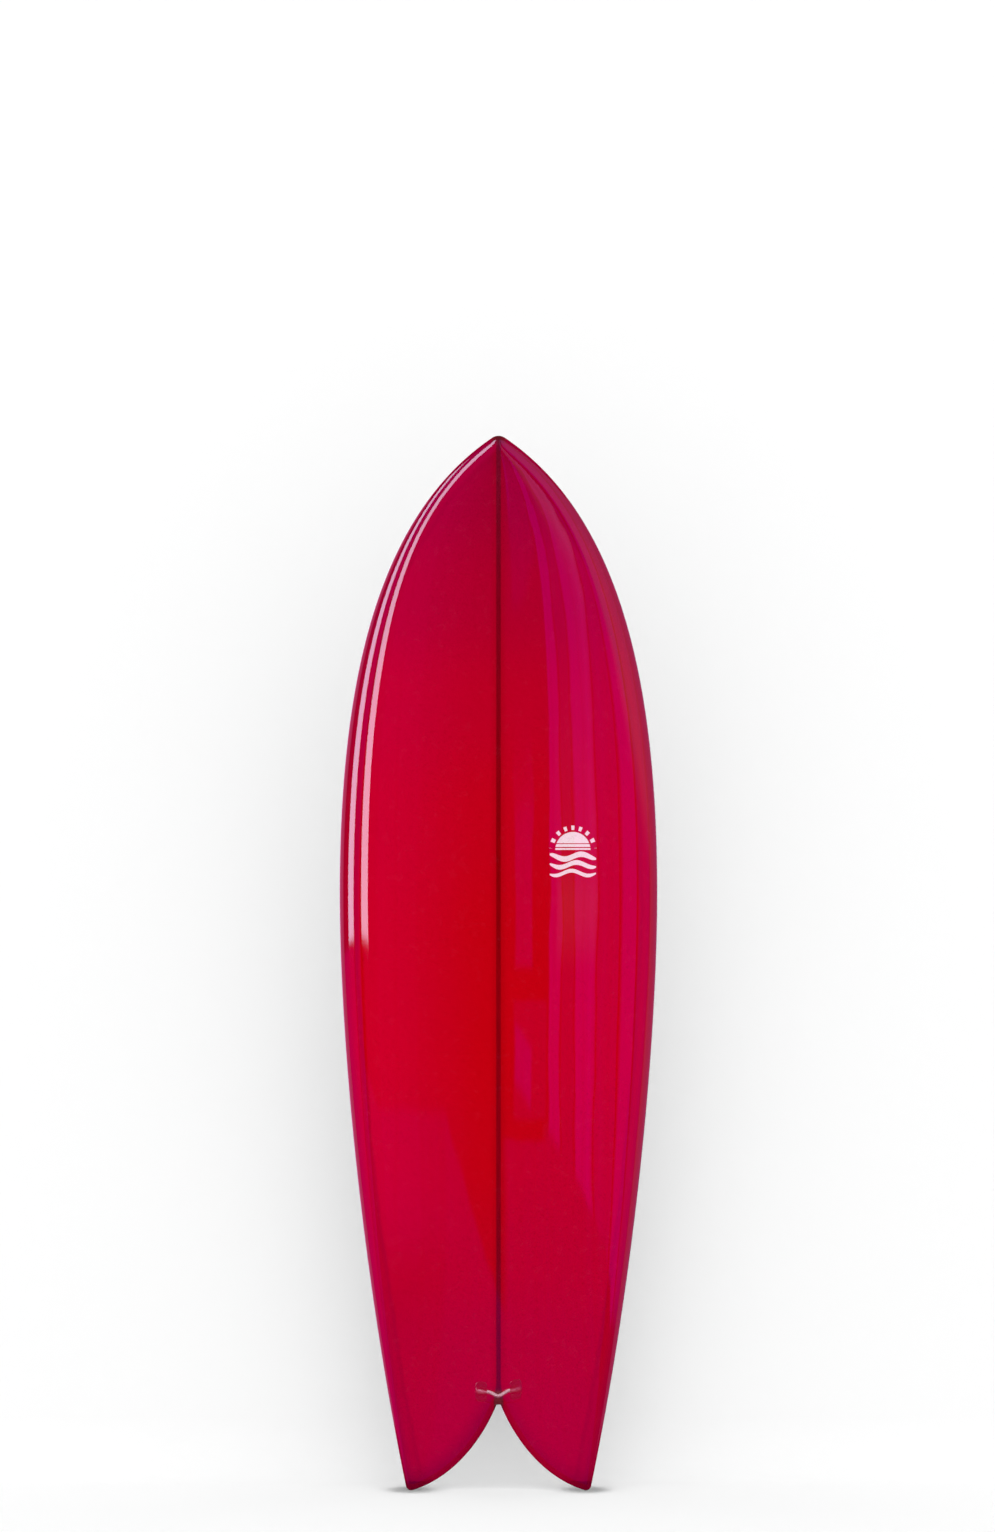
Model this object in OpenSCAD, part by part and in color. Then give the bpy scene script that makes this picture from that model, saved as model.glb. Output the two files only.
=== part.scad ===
/* [Board] */
// Length from the nose to the tail tips, mm
board_length = 1778; // [1500:1:2200]
// Width at the widest point, mm
board_width = 539; // [430:1:650]
// Thickness through the middle, mm
board_thickness = 63.5; // [45:0.5:80]
// Height of the widest point above the tail tips, share of the length
wide_share = 0.566; // [0.5:0.002:0.62]
// Rise of the bottom at the nose, mm
nose_rocker = 120; // [60:1:180]
// Rise of the bottom at the tail, mm
tail_rocker = 42; // [15:1:80]
// Width of the wooden stringer, mm
stringer_width = 6.35; // [3:0.05:10]

/* [Nose and tail] */
// Radius of the nose point in plan, mm
nose_radius = 20; // [10:1:40]
// Slope of the outline beside the nose point, degrees from level
nose_slope = 33.7; // [20:0.1:50]
// Distance between the centres of the two tail tips, mm
tip_spread = 295.6; // [200:0.2:360]
// Radius of each tail tip in plan, mm
tip_radius = 9; // [6:0.5:14]
// Lean of the outline where it meets the tail tips, degrees from upright
tip_lean = 12; // [0:0.5:25]
// Depth of the fork in the tail, mm
fork_depth = 144; // [90:1:200]
// Slope of the fork edge beside the stringer, degrees
crotch_slope = 67.5; // [50:0.5:80]
// Slope of the fork edge at the tail tips, degrees
fork_slope = 16.7; // [5:0.1:30]

/* [Laminates] */
// Thickness of the deck cloth, resin and gloss coat, mm
deck_glass = 1.1; // [0.6:0.1:2]
// Thickness of the bottom cloth and resin, mm
bottom_glass = 0.9; // [0.5:0.1:1.6]
// Centre of the decal across the deck from the stringer, mm
decal_across = 125.5; // [60:0.5:180]
// Centre of the decal above the tail tips, share of the length
decal_share = 0.6065; // [0.3:0.0005:0.8]
// Width of the decal, mm
decal_width = 84; // [40:1:140]
// Height of the decal, mm
decal_height = 100; // [40:1:160]

/* [Leash loop] */
// Height of the loop feet above the crotch of the fork, mm
loop_above_crotch = 23; // [10:0.5:60]
// Width of the arch between its feet, mm
loop_span = 36; // [28:1:70]
// Rise of the arch, mm
loop_rise = 12; // [9:0.5:25]
// Rope diameter, mm
rope_diameter = 6; // [5:0.2:9]
// Lean of the arch towards the tail, degrees
loop_lean = 20; // [0:1:60]
// Length of each splayed rope foot, mm
foot_length = 15; // [8:0.5:30]
// Length of each cloth patch past its rope foot, mm
patch_beyond = 7; // [4:0.5:15]

/* [Keels] */
// Length of each keel along the board, mm
keel_base = 232; // [160:1:280]
// Depth of each keel, mm
keel_depth = 124; // [80:1:160]
// Greatest thickness of the plywood core, mm
keel_thickness = 9.5; // [6:0.5:13]
// Distance between the keels at their rear ends, mm
keel_spread = 298; // [220:1:340]
// Height of the rear end of the keels above the tail tips, mm
keel_height = 138; // [90:1:220]
// Outward cant of the keels, degrees
keel_cant = 3; // [0:0.5:8]
// Inward toe of the keels towards the nose, degrees
keel_toe = 1.5; // [0:0.1:4]
// Width of the resin halo round the core, mm
halo_width = 7; // [4:0.5:12]
// Thickness of the keel skins, mm
skin_glass = 0.8; // [0.4:0.1:1.5]
// Radius of the fillet between keel and bottom, mm
fillet_radius = 9; // [5:0.5:14]

// Which node to build

/* [Hidden] */
right = 1;
left = -1;
half_width = board_width / 2;
half_stringer = stringer_width / 2;
wide_height = wide_share * board_length;
// smallest distance kept between two laid-on pieces
seat = 0.15;

function mix(a, b, t) = a + (b - a) * t;
function clamp(v, lo, hi) = min(max(v, lo), hi);
function unit(v) = v / norm(v);
function mirrored(p) = [-p[0], p[1], p[2]];
function cubic(p, t) = pow(1 - t, 3) * p[0] + 3 * pow(1 - t, 2) * t * p[1]
                     + 3 * (1 - t) * t * t * p[2] + pow(t, 3) * p[3];
// rise of a rounded edge, s is the share of the rounding crossed
function round_edge(s) = s >= 1 ? 1 : sqrt(max(0, 1 - pow(1 - s, 2)));
function segment_gap(p, a, b) =
    let (d = b - a, t = clamp(((p - a) * d) / max(d * d, 1e-9), 0, 1)) norm(p - a - t * d);
function line_gap(p, line) =
    min([for (i = [0 : len(line) - 2]) segment_gap(p, line[i], line[i + 1])]);

// ---- outline in plan, points are [across, up the board]
nose_reach = 0.132 * board_length;
nose_fullness = 0.2 * board_length;
tail_fullness = 0.149 * board_length;
tail_reach = 0.19 * board_length;
nose_touch = [nose_radius * sin(nose_slope),
              board_length - nose_radius * (1 - cos(nose_slope))];
nose_curve = [nose_touch,
              nose_touch + nose_reach * [cos(nose_slope), -sin(nose_slope)],
              [half_width, wide_height + nose_fullness],
              [half_width, wide_height]];
tip_centre = [tip_spread / 2, tip_radius];
tail_touch = tip_centre + tip_radius * [cos(tip_lean), -sin(tip_lean)];
tail_curve = [[half_width, wide_height],
              [half_width, wide_height - tail_fullness],
              tail_touch + tail_reach * [sin(tip_lean), cos(tip_lean)],
              tail_touch];
fork_touch = tip_centre - tip_radius * [sin(fork_slope), cos(fork_slope)];
fork_curve = [[half_stringer, fork_depth],
              [half_stringer, fork_depth]
                + 0.5 * fork_depth * [cos(crotch_slope), -sin(crotch_slope)],
              fork_touch + 0.465 * fork_depth * [-cos(fork_slope), sin(fork_slope)],
              fork_touch];
tip_turn = 60;
tip_point = tip_centre + tip_radius * [cos(tip_turn), -sin(tip_turn)];
tail_table = [for (i = [0 : 60]) [cubic(tail_curve, i / 60)[1], i / 60]];
function tail_outline(height) = cubic(tail_curve, lookup(height, tail_table));
function tip_arc(turn) = tip_centre + tip_radius * [cos(turn), -sin(turn)];

// ---- rows run from the inner edge to the rail, first the nose, last the tail tip
nose_arc_steps = 3;
nose_steps = 12;
tail_steps = 6;
fork_steps = 9;
fan_inner = [75, 30, 12, 5, 1.5, 0];
fan_outer = [130, 105, 88, 74, 61, 48];
// one closer row where the deck turns down to the nose
nose_shares = concat([0.4 / nose_steps], [for (i = [1 : nose_steps]) i / nose_steps]);
nose_rows = concat(
    [for (i = [0 : nose_arc_steps]) let (a = nose_slope * i / nose_arc_steps)
        [nose_radius * sin(a), board_length - nose_radius * (1 - cos(a))]],
    [for (t = nose_shares) cubic(nose_curve, t)]);
rows = concat(
    [for (p = nose_rows) [[min(half_stringer, p[0] / 2), p[1]], p]],
    [for (i = [1 : tail_steps - 1]) let (s = i / tail_steps)
        [[half_stringer, mix(wide_height, fork_depth + fan_inner[0], s)],
         tail_outline(mix(wide_height, fork_depth + fan_outer[0], s))]],
    [for (i = [0 : len(fan_inner) - 1])
        [[half_stringer, fork_depth + fan_inner[i]], tail_outline(fork_depth + fan_outer[i])]],
    [for (i = [1 : fork_steps]) let (t = i / fork_steps)
        [cubic(fork_curve, t),
         tail_outline(mix(fork_depth + fan_outer[5], tail_touch[1], t))]],
    [[tip_arc(90), tip_arc(28)], [tip_arc(75), tip_arc(44)], [tip_point, tip_point]]);
last_row = len(rows) - 1;
crotch_row = last_row - fork_steps - 3;
foam_row = nose_arc_steps;
rail_line = [for (r = rows) r[1]];
fork_line = concat([[-half_stringer, fork_depth]],
                   [for (i = [crotch_row : last_row]) rows[i][0]]);
width_table = [for (p = rail_line) [p[1], p[0]]];
function half_width_at(height) = max(lookup(height, width_table), 1);

// ---- lengthwise shapes, all by height above the tail tips
deck_share = 0.62;
dome_drop = 0.33;
nose_edge = 13;
tail_edge = 12.5;
flat_height = 0.45 * board_length;
deck_rounding = [[0, tip_radius], [fork_depth, 16], [0.33 * board_length, 44],
                 [0.5 * board_length, 58], [0.75 * board_length, 50], [board_length, 20]];
bottom_rounding = [[0, 0.8 * tip_radius], [fork_depth, 9], [0.33 * board_length, 22],
                   [0.5 * board_length, 30], [0.75 * board_length, 26], [board_length, 16]];
fork_deck_rounding = 12;
fork_bottom_rounding = 7;
function thickness(h) = h > wide_height
    ? mix(board_thickness, nose_edge,
          pow((h - wide_height) / (board_length - wide_height), 2.3))
    : mix(board_thickness, tail_edge, pow((wide_height - h) / wide_height, 2));
function rocker(h) = h > flat_height
    ? nose_rocker * pow((h - flat_height) / (board_length - flat_height), 2.4)
    : tail_rocker * pow((flat_height - h) / flat_height, 2);
function apex(h) = rocker(h) + (1 - deck_share) * thickness(h);
function deck_level(x, h) = apex(h) + deck_share * thickness(h)
    * (1 - dome_drop * pow(min(1, abs(x) / half_width_at(h)), 2));
// shift that centres the whole board, keels included, on the origin
middle = (nose_rocker + deck_share * nose_edge - keel_depth
    + rocker(keel_height + 0.15 * keel_base)) / 2;
function on_deck(x, h, rise) = [x, middle - deck_level(x, h) - rise, h];
function on_bottom(x, h, rise) = [x, middle - rocker(h) + rise, h];

// ---- the skin of one half: columns 0..rail over the deck, rail..2*rail back under the bottom
crotch_columns = [0, 1.5, 5, 12];
centre_columns = [0, 14, 32, 60];
middle_columns = [0.3, 0.58, 0.82];
rail_columns = [1, 0.5, 0.22, 0.075, 0.017, 0];
rail = len(crotch_columns) + len(middle_columns) + len(rail_columns) - 1;
seam = 2 * rail;
function row_points(r) =
    let (a = rows[r][0], b = rows[r][1], reach = norm(b - a),
         open = r > crotch_row ? 0 : clamp((a[1] - fork_depth) / fan_inner[0], 0, 1),
         inner = [for (i = [0 : 3]) mix(crotch_columns[i], centre_columns[i], open)],
         rounding = lookup(b[1], deck_rounding),
         fit = min(1, reach / (1.5 * (inner[3] + rounding))),
         start = inner[3] * fit,
         end = reach - rounding * fit,
         places = concat([for (v = inner) v * fit],
                         [for (s = middle_columns) mix(start, end, s)],
                         [for (s = rail_columns) reach - s * rounding * fit]))
    [for (v = places) reach > 0 ? a + (b - a) * v / reach : a];
function level_at(p, side) =
    let (h = p[1], to_rail = line_gap(p, rail_line), to_fork = line_gap(p, fork_line))
    side > 0
        ? apex(h) + (deck_level(p[0], h) - apex(h))
            * min(round_edge(to_rail / lookup(h, deck_rounding)),
                  round_edge(to_fork / fork_deck_rounding))
        : apex(h) - (1 - deck_share) * thickness(h)
            * min(round_edge(to_rail / lookup(h, bottom_rounding)),
                  round_edge(to_fork / fork_bottom_rounding));
function lifted(p, side) = [p[0], middle - level_at(p, side), p[1]];
plan = [for (r = [0 : last_row]) row_points(r)];
skin = [for (r = [0 : last_row])
    concat([for (c = [0 : rail]) lifted(plan[r][c], 1)],
           [for (c = [rail - 1 : -1 : 0]) lifted(plan[r][c], -1)])];

function beside(r, j) =
    j >= 0 && j <= seam ? skin[r][j]
    : r >= crotch_row ? skin[r][j < 0 ? seam - 1 : 1]
    : mirrored(skin[r][j < 0 ? 1 : seam - 1]);
function outward(r, j) =
    r == 0 ? [0, 0, 1]
    : r == last_row ? [cos(tip_turn), 0, -sin(tip_turn)]
    : r == crotch_row && (j == 0 || j == seam) ? [0, 0, -1]
    : unit(cross(skin[r + 1][j] - skin[r - 1][j], beside(r, j + 1) - beside(r, j - 1)));

// ---- cloth: which grid points each laminate covers
lap_columns = 4;
fork_lap = 2;
function in_lap(r, c) = r == 0 || r == last_row || c >= rail - lap_columns
                     || (r >= crotch_row - fork_lap && c <= fork_lap);
function deck_cover(r, j) = j <= rail || in_lap(r, seam - j) ? 1 : 0;
function bottom_cover(r, j) = j >= rail || in_lap(r, j) ? 1 : 0;
end_scale = [0.4, 0.4, 0.65, 0.85];
function end_ease(r) = min(lookup(r, [[0, end_scale[0]], [1, end_scale[1]], [2, end_scale[2]],
                                      [3, end_scale[3]], [4, 1]]),
                           lookup(last_row - r, [[0, end_scale[0]], [1, end_scale[1]],
                                                 [2, end_scale[2]], [3, 1]]));
function deck_depth(r, j) = deck_glass * deck_cover(r, j) * end_ease(r);
function full_depth(r, j) = deck_depth(r, j) + bottom_glass * bottom_cover(r, j) * end_ease(r);
row_size = seam + 1;
half_size = (last_row + 1) * row_size;
normals = [for (r = [0 : last_row]) [for (j = [0 : seam]) outward(r, j)]];
function both(list) = concat(list, [for (p = list) mirrored(p)]);
outer_points = both([for (r = [0 : last_row]) for (j = [0 : seam]) skin[r][j]]);
lap_points = both([for (r = [0 : last_row]) for (j = [0 : seam])
    skin[r][j] - deck_depth(r, j) * normals[r][j]]);
core_points = both([for (r = [0 : last_row]) for (j = [0 : seam])
    skin[r][j] - full_depth(r, j) * normals[r][j]]);
deck_mask = [for (k = [0, 1]) for (r = [0 : last_row]) for (j = [0 : seam]) deck_cover(r, j)];
bottom_mask = [for (k = [0, 1]) for (r = [0 : last_row]) for (j = [0 : seam]) bottom_cover(r, j)];

function id(r, j, half) =
    r == 0 ? 0
    : half * half_size + r * row_size
      + (r == last_row ? 0 : r >= crotch_row && j == seam ? 0 : j);
function sound(t) = t[0] != t[1] && t[1] != t[2] && t[0] != t[2];
function split(q) = [for (t = [[q[0], q[1], q[2]], [q[0], q[2], q[3]]]) if (sound(t)) t];
function flipped(t) = [t[2], t[1], t[0]];
function quad(r, j, half) =
    let (q = [id(r, j, half), id(r, j + 1, half), id(r + 1, j + 1, half), id(r + 1, j, half)])
    half == 0 ? split(q) : [for (t = split(q)) flipped(t)];
side_faces = [for (half = [0, 1]) for (r = [0 : last_row - 1]) for (j = [0 : seam - 1])
    each quad(r, j, half)];
centre_faces = [for (r = [0 : crotch_row - 1])
    each concat(split([id(r, 0, 1), id(r, 0, 0), id(r + 1, 0, 0), id(r + 1, 0, 1)]),
                split([id(r, seam, 0), id(r, seam, 1), id(r + 1, seam, 1), id(r + 1, seam, 0)]))];
skin_faces = concat(side_faces, centre_faces);

// a cloth layer between two point sets, feathered to nothing where its mask is 0
module cloth(top, under, mask) {
    count = len(top);
    covered = [for (t = skin_faces) if (mask[t[0]] + mask[t[1]] + mask[t[2]] > 0) t];
    faces = concat(covered, [for (t = covered)
        flipped([for (i = t) mask[i] > 0 ? i + count : i])]);
    polyhedron(points = concat(top, under), faces = faces, convexity = 8);
}

module deck_laminate() {
    color("#b8102a")
    cloth(outer_points, lap_points, deck_mask);
}

module bottom_laminate() {
    color("#a80f30")
    cloth(lap_points, core_points, bottom_mask);
}

// ---- foam halves and stringer
foam_faces = concat(
    [for (r = [foam_row : last_row - 1]) for (j = [0 : seam - 1]) each quad(r, j, 0)],
    [for (r = [foam_row : crotch_row - 1])
        each split([id(r, seam, 0), id(r, 0, 0), id(r + 1, 0, 0), id(r + 1, seam, 0)])],
    [for (c = [0 : rail - 1])
        each split([id(foam_row, c, 0), id(foam_row, seam - c, 0),
                    id(foam_row, seam - c - 1, 0), id(foam_row, c + 1, 0)])]);

module foam(side) {
    points = [for (i = [0 : half_size - 1]) core_points[side == right ? i : i + half_size]];
    faces = side == right ? foam_faces : [for (t = foam_faces) flipped(t)];
    polyhedron(points = points, faces = faces, convexity = 8);
}

module foam_right() {
    color("#efe9d8")
    foam(right);
}

module foam_left() {
    color("#efe9d8")
    foam(left);
}

stringer_side = concat(
    [for (r = [foam_row : crotch_row]) core_points[id(r, 0, 0)]],
    [for (r = [crotch_row - 1 : -1 : foam_row]) core_points[id(r, seam, 0)]]);

module stringer() {
    color("#a9744a")
    rotate([90, 0, 90])
    linear_extrude(height = stringer_width, center = true)
    polygon([for (p = stringer_side) [p[1], p[2]]]);
}

// ---- closed sheet between two grids of points
function grid_faces(nk, ni) = concat(
    [for (k = [0 : nk - 2]) for (i = [0 : ni - 2]) let (a = k * ni + i)
        each [[a, a + 1, a + ni + 1], [a, a + ni + 1, a + ni]]],
    [for (k = [0 : nk - 2]) for (i = [0 : ni - 2]) let (a = nk * ni + k * ni + i)
        each [[a, a + ni + 1, a + 1], [a, a + ni, a + ni + 1]]],
    [for (i = [0 : ni - 2]) let (a = i, b = nk * ni + i)
        each [[a, b, b + 1], [a, b + 1, a + 1]]],
    [for (i = [0 : ni - 2]) let (a = (nk - 1) * ni + i, b = nk * ni + a)
        each [[a, b + 1, b], [a, a + 1, b + 1]]],
    [for (k = [0 : nk - 2]) let (a = k * ni, b = nk * ni + a)
        each [[a, b + ni, b], [a, a + ni, b + ni]]],
    [for (k = [0 : nk - 2]) let (a = k * ni + ni - 1, b = nk * ni + a)
        each [[a, b, b + ni], [a, b + ni, a + ni]]]);

module sheet(top, under, turned) {
    nk = len(top);
    ni = len(top[0]);
    faces = grid_faces(nk, ni);
    points = concat([for (row = top) each row], [for (row = under) each row]);
    polyhedron(points = points,
               faces = turned ? [for (t = faces) flipped(t)] : faces, convexity = 6);
}

// ---- tissue decal
decal_film = 0.15;
decal_centre = decal_share * board_length;

module deck_decal() {
    color("#f4e6ea")
    sheet(decal_ring_points(seat + decal_film), decal_ring_points(seat), false);
}

function decal_ring_points(rise) =
    [for (y = [-3 : 3]) [for (x = [-3 : 3])
        let (s = x / 3, t = y / 3,
             across = decal_width / 2 * s * sqrt(1 - t * t / 2),
             along = decal_height / 2 * t * sqrt(1 - s * s / 2))
        on_deck(decal_across + across, decal_centre - along, rise)]];

// ---- leash loop
loop_height = fork_depth + loop_above_crotch;
rope = rope_diameter / 2;
foot_start = loop_span / 2;
foot_end = foot_start + foot_length;
patch_end = foot_end + patch_beyond;
rope_sides = 10;
loop_stations = [for (i = [-11 : 11]) foot_end * i / 11];
function rope_wide(x) = lookup(abs(x), [[0, rope], [foot_start, rope], [foot_end, 2.2 * rope]]);
function rope_tall(x) = lookup(abs(x), [[0, rope], [foot_start, rope], [foot_end, 0.3 * rope],
                                        [patch_end, 0]]);
function loop_lift(x) = abs(x) < foot_start
    ? loop_rise * (1 + cos(180 * x / foot_start)) / 2 : 0;
// the right foot runs a little further up the board than the left one
function loop_bow(x) = x > 0 ? 0.16 * x : -0.04 * x;
function loop_centre(x) = [x, loop_height + loop_bow(x) - loop_lift(x) * tan(loop_lean),
                           rope_tall(x) + loop_lift(x)];
function loop_ring(x) =
    let (c = loop_centre(x), t = unit(loop_centre(x + 0.5) - loop_centre(x - 0.5)),
         up = unit(cross(t, [0, 1, 0])), e = [0, 1, 0],
         along = unit(e - (e * t) * t), rise = unit(cross(along, t)))
    [for (k = [0 : rope_sides - 1]) let (a = 360 * k / rope_sides,
         p = c + rope_wide(x) * sin(a) * along + rope_tall(x) * cos(a) * rise)
        on_deck(p[0], p[1], p[2] + seat)];

module tube(rings, turned) {
    n = len(rings[0]);
    m = len(rings);
    sides = [for (k = [0 : m - 2]) for (i = [0 : n - 1]) let (j = (i + 1) % n)
        each [[k * n + i, k * n + j, (k + 1) * n + j],
              [k * n + i, (k + 1) * n + j, (k + 1) * n + i]]];
    ends = [for (i = [1 : n - 2])
        each [[0, i + 1, i], [(m - 1) * n, (m - 1) * n + i, (m - 1) * n + i + 1]]];
    faces = concat(sides, ends);
    polyhedron(points = [for (r = rings) each r],
               faces = turned ? [for (t = faces) flipped(t)] : faces, convexity = 6);
}

module leash_loop() {
    color("#e9c9d2")
    tube([for (x = loop_stations) loop_ring(x)], true);
}

// ---- cloth patches over the loop feet
patch_rows = [0, 0.12, 0.3, 0.5, 0.7, 0.88, 1];
patch_columns = [-2.9, -2.2, -1.4, -0.7, 0, 0.7, 1.4, 2.2, 2.9];
patch_glass = 0.7;
patch_edge = 0.12;
// narrower at both ends, so the patch has a rounded outline
function patch_taper(t) = sqrt(1 - (t < 0.5 ? 0.4 : 0.8) * pow(2 * t - 1, 4));
function patch_points(side, top) =
    [for (i = [0 : len(patch_rows) - 1]) [for (k = patch_columns)
        let (x = mix(foot_start + 1.5, patch_end, patch_rows[i]),
             wide = min(rope_wide(x), 1.7 * rope) * patch_taper(patch_rows[i]),
             across = k * wide,
             hump = 2.1 * rope_tall(x) * max(0, 1 - pow(k * wide / (1.9 * rope_wide(x)), 2)),
             inside = i > 0 && i < len(patch_rows) - 1 && abs(k) < 2.5,
             film = top ? (inside ? patch_glass : patch_edge) : 0)
        on_deck(side * x, loop_height + loop_bow(side * x) + across, 2 * seat + hump + film)]];

module loop_patch_right() {
    color("#c98a98")
    sheet(patch_points(right, true), patch_points(right, false), false);
}

module loop_patch_left() {
    color("#c98a98")
    sheet(patch_points(left, true), patch_points(left, false), true);
}

// ---- keels, planned flat: [along from the rear end, depth], then set on the bottom
leading_curve = [[keel_base, 0], [0.8 * keel_base, 0.42 * keel_depth],
                 [0.44 * keel_base, keel_depth], [0.15 * keel_base, keel_depth]];
tip_curve = [[0.15 * keel_base, keel_depth], [0.01 * keel_base, keel_depth],
             [-0.035 * keel_base, 0.86 * keel_depth], [-0.02 * keel_base, 0.68 * keel_depth]];
trailing_curve = [[-0.02 * keel_base, 0.68 * keel_depth], [-0.005 * keel_base, 0.5 * keel_depth],
                  [0.05 * keel_base, 0.25 * keel_depth], [0, 0]];
leading_line = [for (i = [0 : 9]) cubic(leading_curve, i / 9)];
trailing_line = concat([for (i = [1 : 4]) cubic(tip_curve, i / 4)],
                       [for (i = [1 : 4]) cubic(trailing_curve, i / 4)]);
keel_line = concat(leading_line, trailing_line);
keel_count = len(keel_line);
keel_rings = [0, 0.2, 0.45, 0.72, 1];
keel_edge = 1.6;
leading_foil = 70;
trailing_foil = 85;
function keel_spine(i) = [keel_base * mix(0.66, 0.34, i / (keel_count - 1)), 0];
function keel_inset(i) =
    let (p = keel_line[i], way = unit(keel_spine(i) - p),
         before = keel_line[max(0, i - 1)], after = keel_line[min(keel_count - 1, i + 1)],
         run = unit(after - before), sine = abs(way[0] * run[1] - way[1] * run[0]))
    p + way * halo_width / max(sine, 0.45);
keel_grid = concat([keel_line],
    [for (s = keel_rings) [for (i = [0 : keel_count - 1]) mix(keel_inset(i), keel_spine(i), s)]]);
function swell(s) = 1 - pow(1 - min(1, s), 2);
function foil(p) = keel_edge + (keel_thickness - keel_edge)
    * swell(line_gap(p, leading_line) / leading_foil)
    * swell(line_gap(p, trailing_line) / trailing_foil);
function keel_place(side, p, off) =
    on_bottom(side * (keel_spread / 2 - tan(keel_toe) * p[0] + tan(keel_cant) * p[1] + off),
              keel_height + p[0], p[1] + seat);
function keel_layer(side, rings, share, off) =
    [for (k = rings) [for (p = keel_grid[k]) keel_place(side, p, share * foil(p) + off)]];
core_rings = [1 : len(keel_rings)];
halo_rings = [0, 1];
all_rings = [0 : len(keel_rings)];

module keel_piece(side, rings, share_top, off_top, share_low, off_low) {
    sheet(keel_layer(side, rings, share_top, off_top),
          keel_layer(side, rings, share_low, off_low), side == left);
}

module keel_core_right() {
    color("#c79a63")
    keel_piece(right, core_rings, 1, 0, 0, 0);
}

module keel_core_left() {
    color("#c79a63")
    keel_piece(left, core_rings, 1, 0, 0, 0);
}

module keel_halo_right() {
    color("#d8a9a4")
    keel_piece(right, halo_rings, 1, 0, 0, 0);
}

module keel_halo_left() {
    color("#d8a9a4")
    keel_piece(left, halo_rings, 1, 0, 0, 0);
}

module keel_inner_skin_right() {
    color("#cf7f7a")
    keel_piece(right, all_rings, 0, 0, 0, -skin_glass);
}

module keel_inner_skin_left() {
    color("#cf7f7a")
    keel_piece(left, all_rings, 0, 0, 0, -skin_glass);
}

module keel_outer_skin_right() {
    color("#cf7f7a")
    keel_piece(right, all_rings, 1, skin_glass, 1, 0);
}

module keel_outer_skin_left() {
    color("#cf7f7a")
    keel_piece(left, all_rings, 1, skin_glass, 1, 0);
}

fillet_steps = 14;
fillet_bend = [0, 25, 50, 72, 90];
function fillet_size(a) = clamp(0.75 * min(a, keel_base - a), 1.2, fillet_radius);
function face_off(p, way) = way > 0 ? foil(p) + skin_glass + 0.08 : -skin_glass - 0.08;
function fillet_ring(side, way, a) =
    let (size = fillet_size(a), low = face_off([a, 0], way), high = face_off([a, size], way))
    concat([keel_place(side, [a, 0], low)],
        [for (t = fillet_bend)
            keel_place(side, [a, size * (1 - cos(t))],
                       mix(low + way * size, high, sin(t)))]);

module fillet(side, way) {
    start = 1.5;
    end = keel_base - 3;
    tube([for (i = [0 : fillet_steps]) fillet_ring(side, way, mix(start, end, i / fillet_steps))],
         side * way > 0);
}

module keel_inner_fillet_right() {
    color("#b8102a")
    fillet(right, -1);
}

module keel_inner_fillet_left() {
    color("#b8102a")
    fillet(left, -1);
}

module keel_outer_fillet_right() {
    color("#b8102a")
    fillet(right, 1);
}

module keel_outer_fillet_left() {
    color("#b8102a")
    fillet(left, 1);
}

foam_right();
foam_left();
stringer();
deck_laminate();
bottom_laminate();
deck_decal();
leash_loop();
loop_patch_right();
loop_patch_left();
keel_core_right();
keel_core_left();
keel_halo_right();
keel_halo_left();
keel_inner_skin_right();
keel_inner_skin_left();
keel_outer_skin_right();
keel_outer_skin_left();
keel_inner_fillet_right();
keel_inner_fillet_left();
keel_outer_fillet_right();
keel_outer_fillet_left();
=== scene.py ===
import math

import bmesh
import bpy
import numpy as np
from mathutils import Matrix, Vector


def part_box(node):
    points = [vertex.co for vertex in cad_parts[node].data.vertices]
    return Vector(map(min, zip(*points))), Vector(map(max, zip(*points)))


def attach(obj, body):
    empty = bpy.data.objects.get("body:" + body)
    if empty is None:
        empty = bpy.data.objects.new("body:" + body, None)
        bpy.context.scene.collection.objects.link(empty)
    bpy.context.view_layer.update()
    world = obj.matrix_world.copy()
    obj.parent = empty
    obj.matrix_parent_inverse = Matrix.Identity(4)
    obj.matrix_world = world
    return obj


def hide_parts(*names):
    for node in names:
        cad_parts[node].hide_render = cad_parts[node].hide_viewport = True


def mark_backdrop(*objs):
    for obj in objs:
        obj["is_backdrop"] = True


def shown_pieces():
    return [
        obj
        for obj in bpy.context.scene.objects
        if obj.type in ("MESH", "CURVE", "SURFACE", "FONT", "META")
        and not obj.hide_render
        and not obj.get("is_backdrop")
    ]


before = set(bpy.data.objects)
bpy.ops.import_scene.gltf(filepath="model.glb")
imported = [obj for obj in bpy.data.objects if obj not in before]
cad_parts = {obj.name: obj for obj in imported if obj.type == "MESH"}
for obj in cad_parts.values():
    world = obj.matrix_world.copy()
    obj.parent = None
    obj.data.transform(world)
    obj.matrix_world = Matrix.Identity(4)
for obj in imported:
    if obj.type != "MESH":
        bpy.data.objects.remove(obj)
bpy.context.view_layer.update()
scene = bpy.context.scene
scene.view_settings.view_transform = "Standard"
scene.view_settings.look = "None"
print("frame loaded")

mm = 0.001
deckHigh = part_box("deck_laminate")[1]

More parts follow.
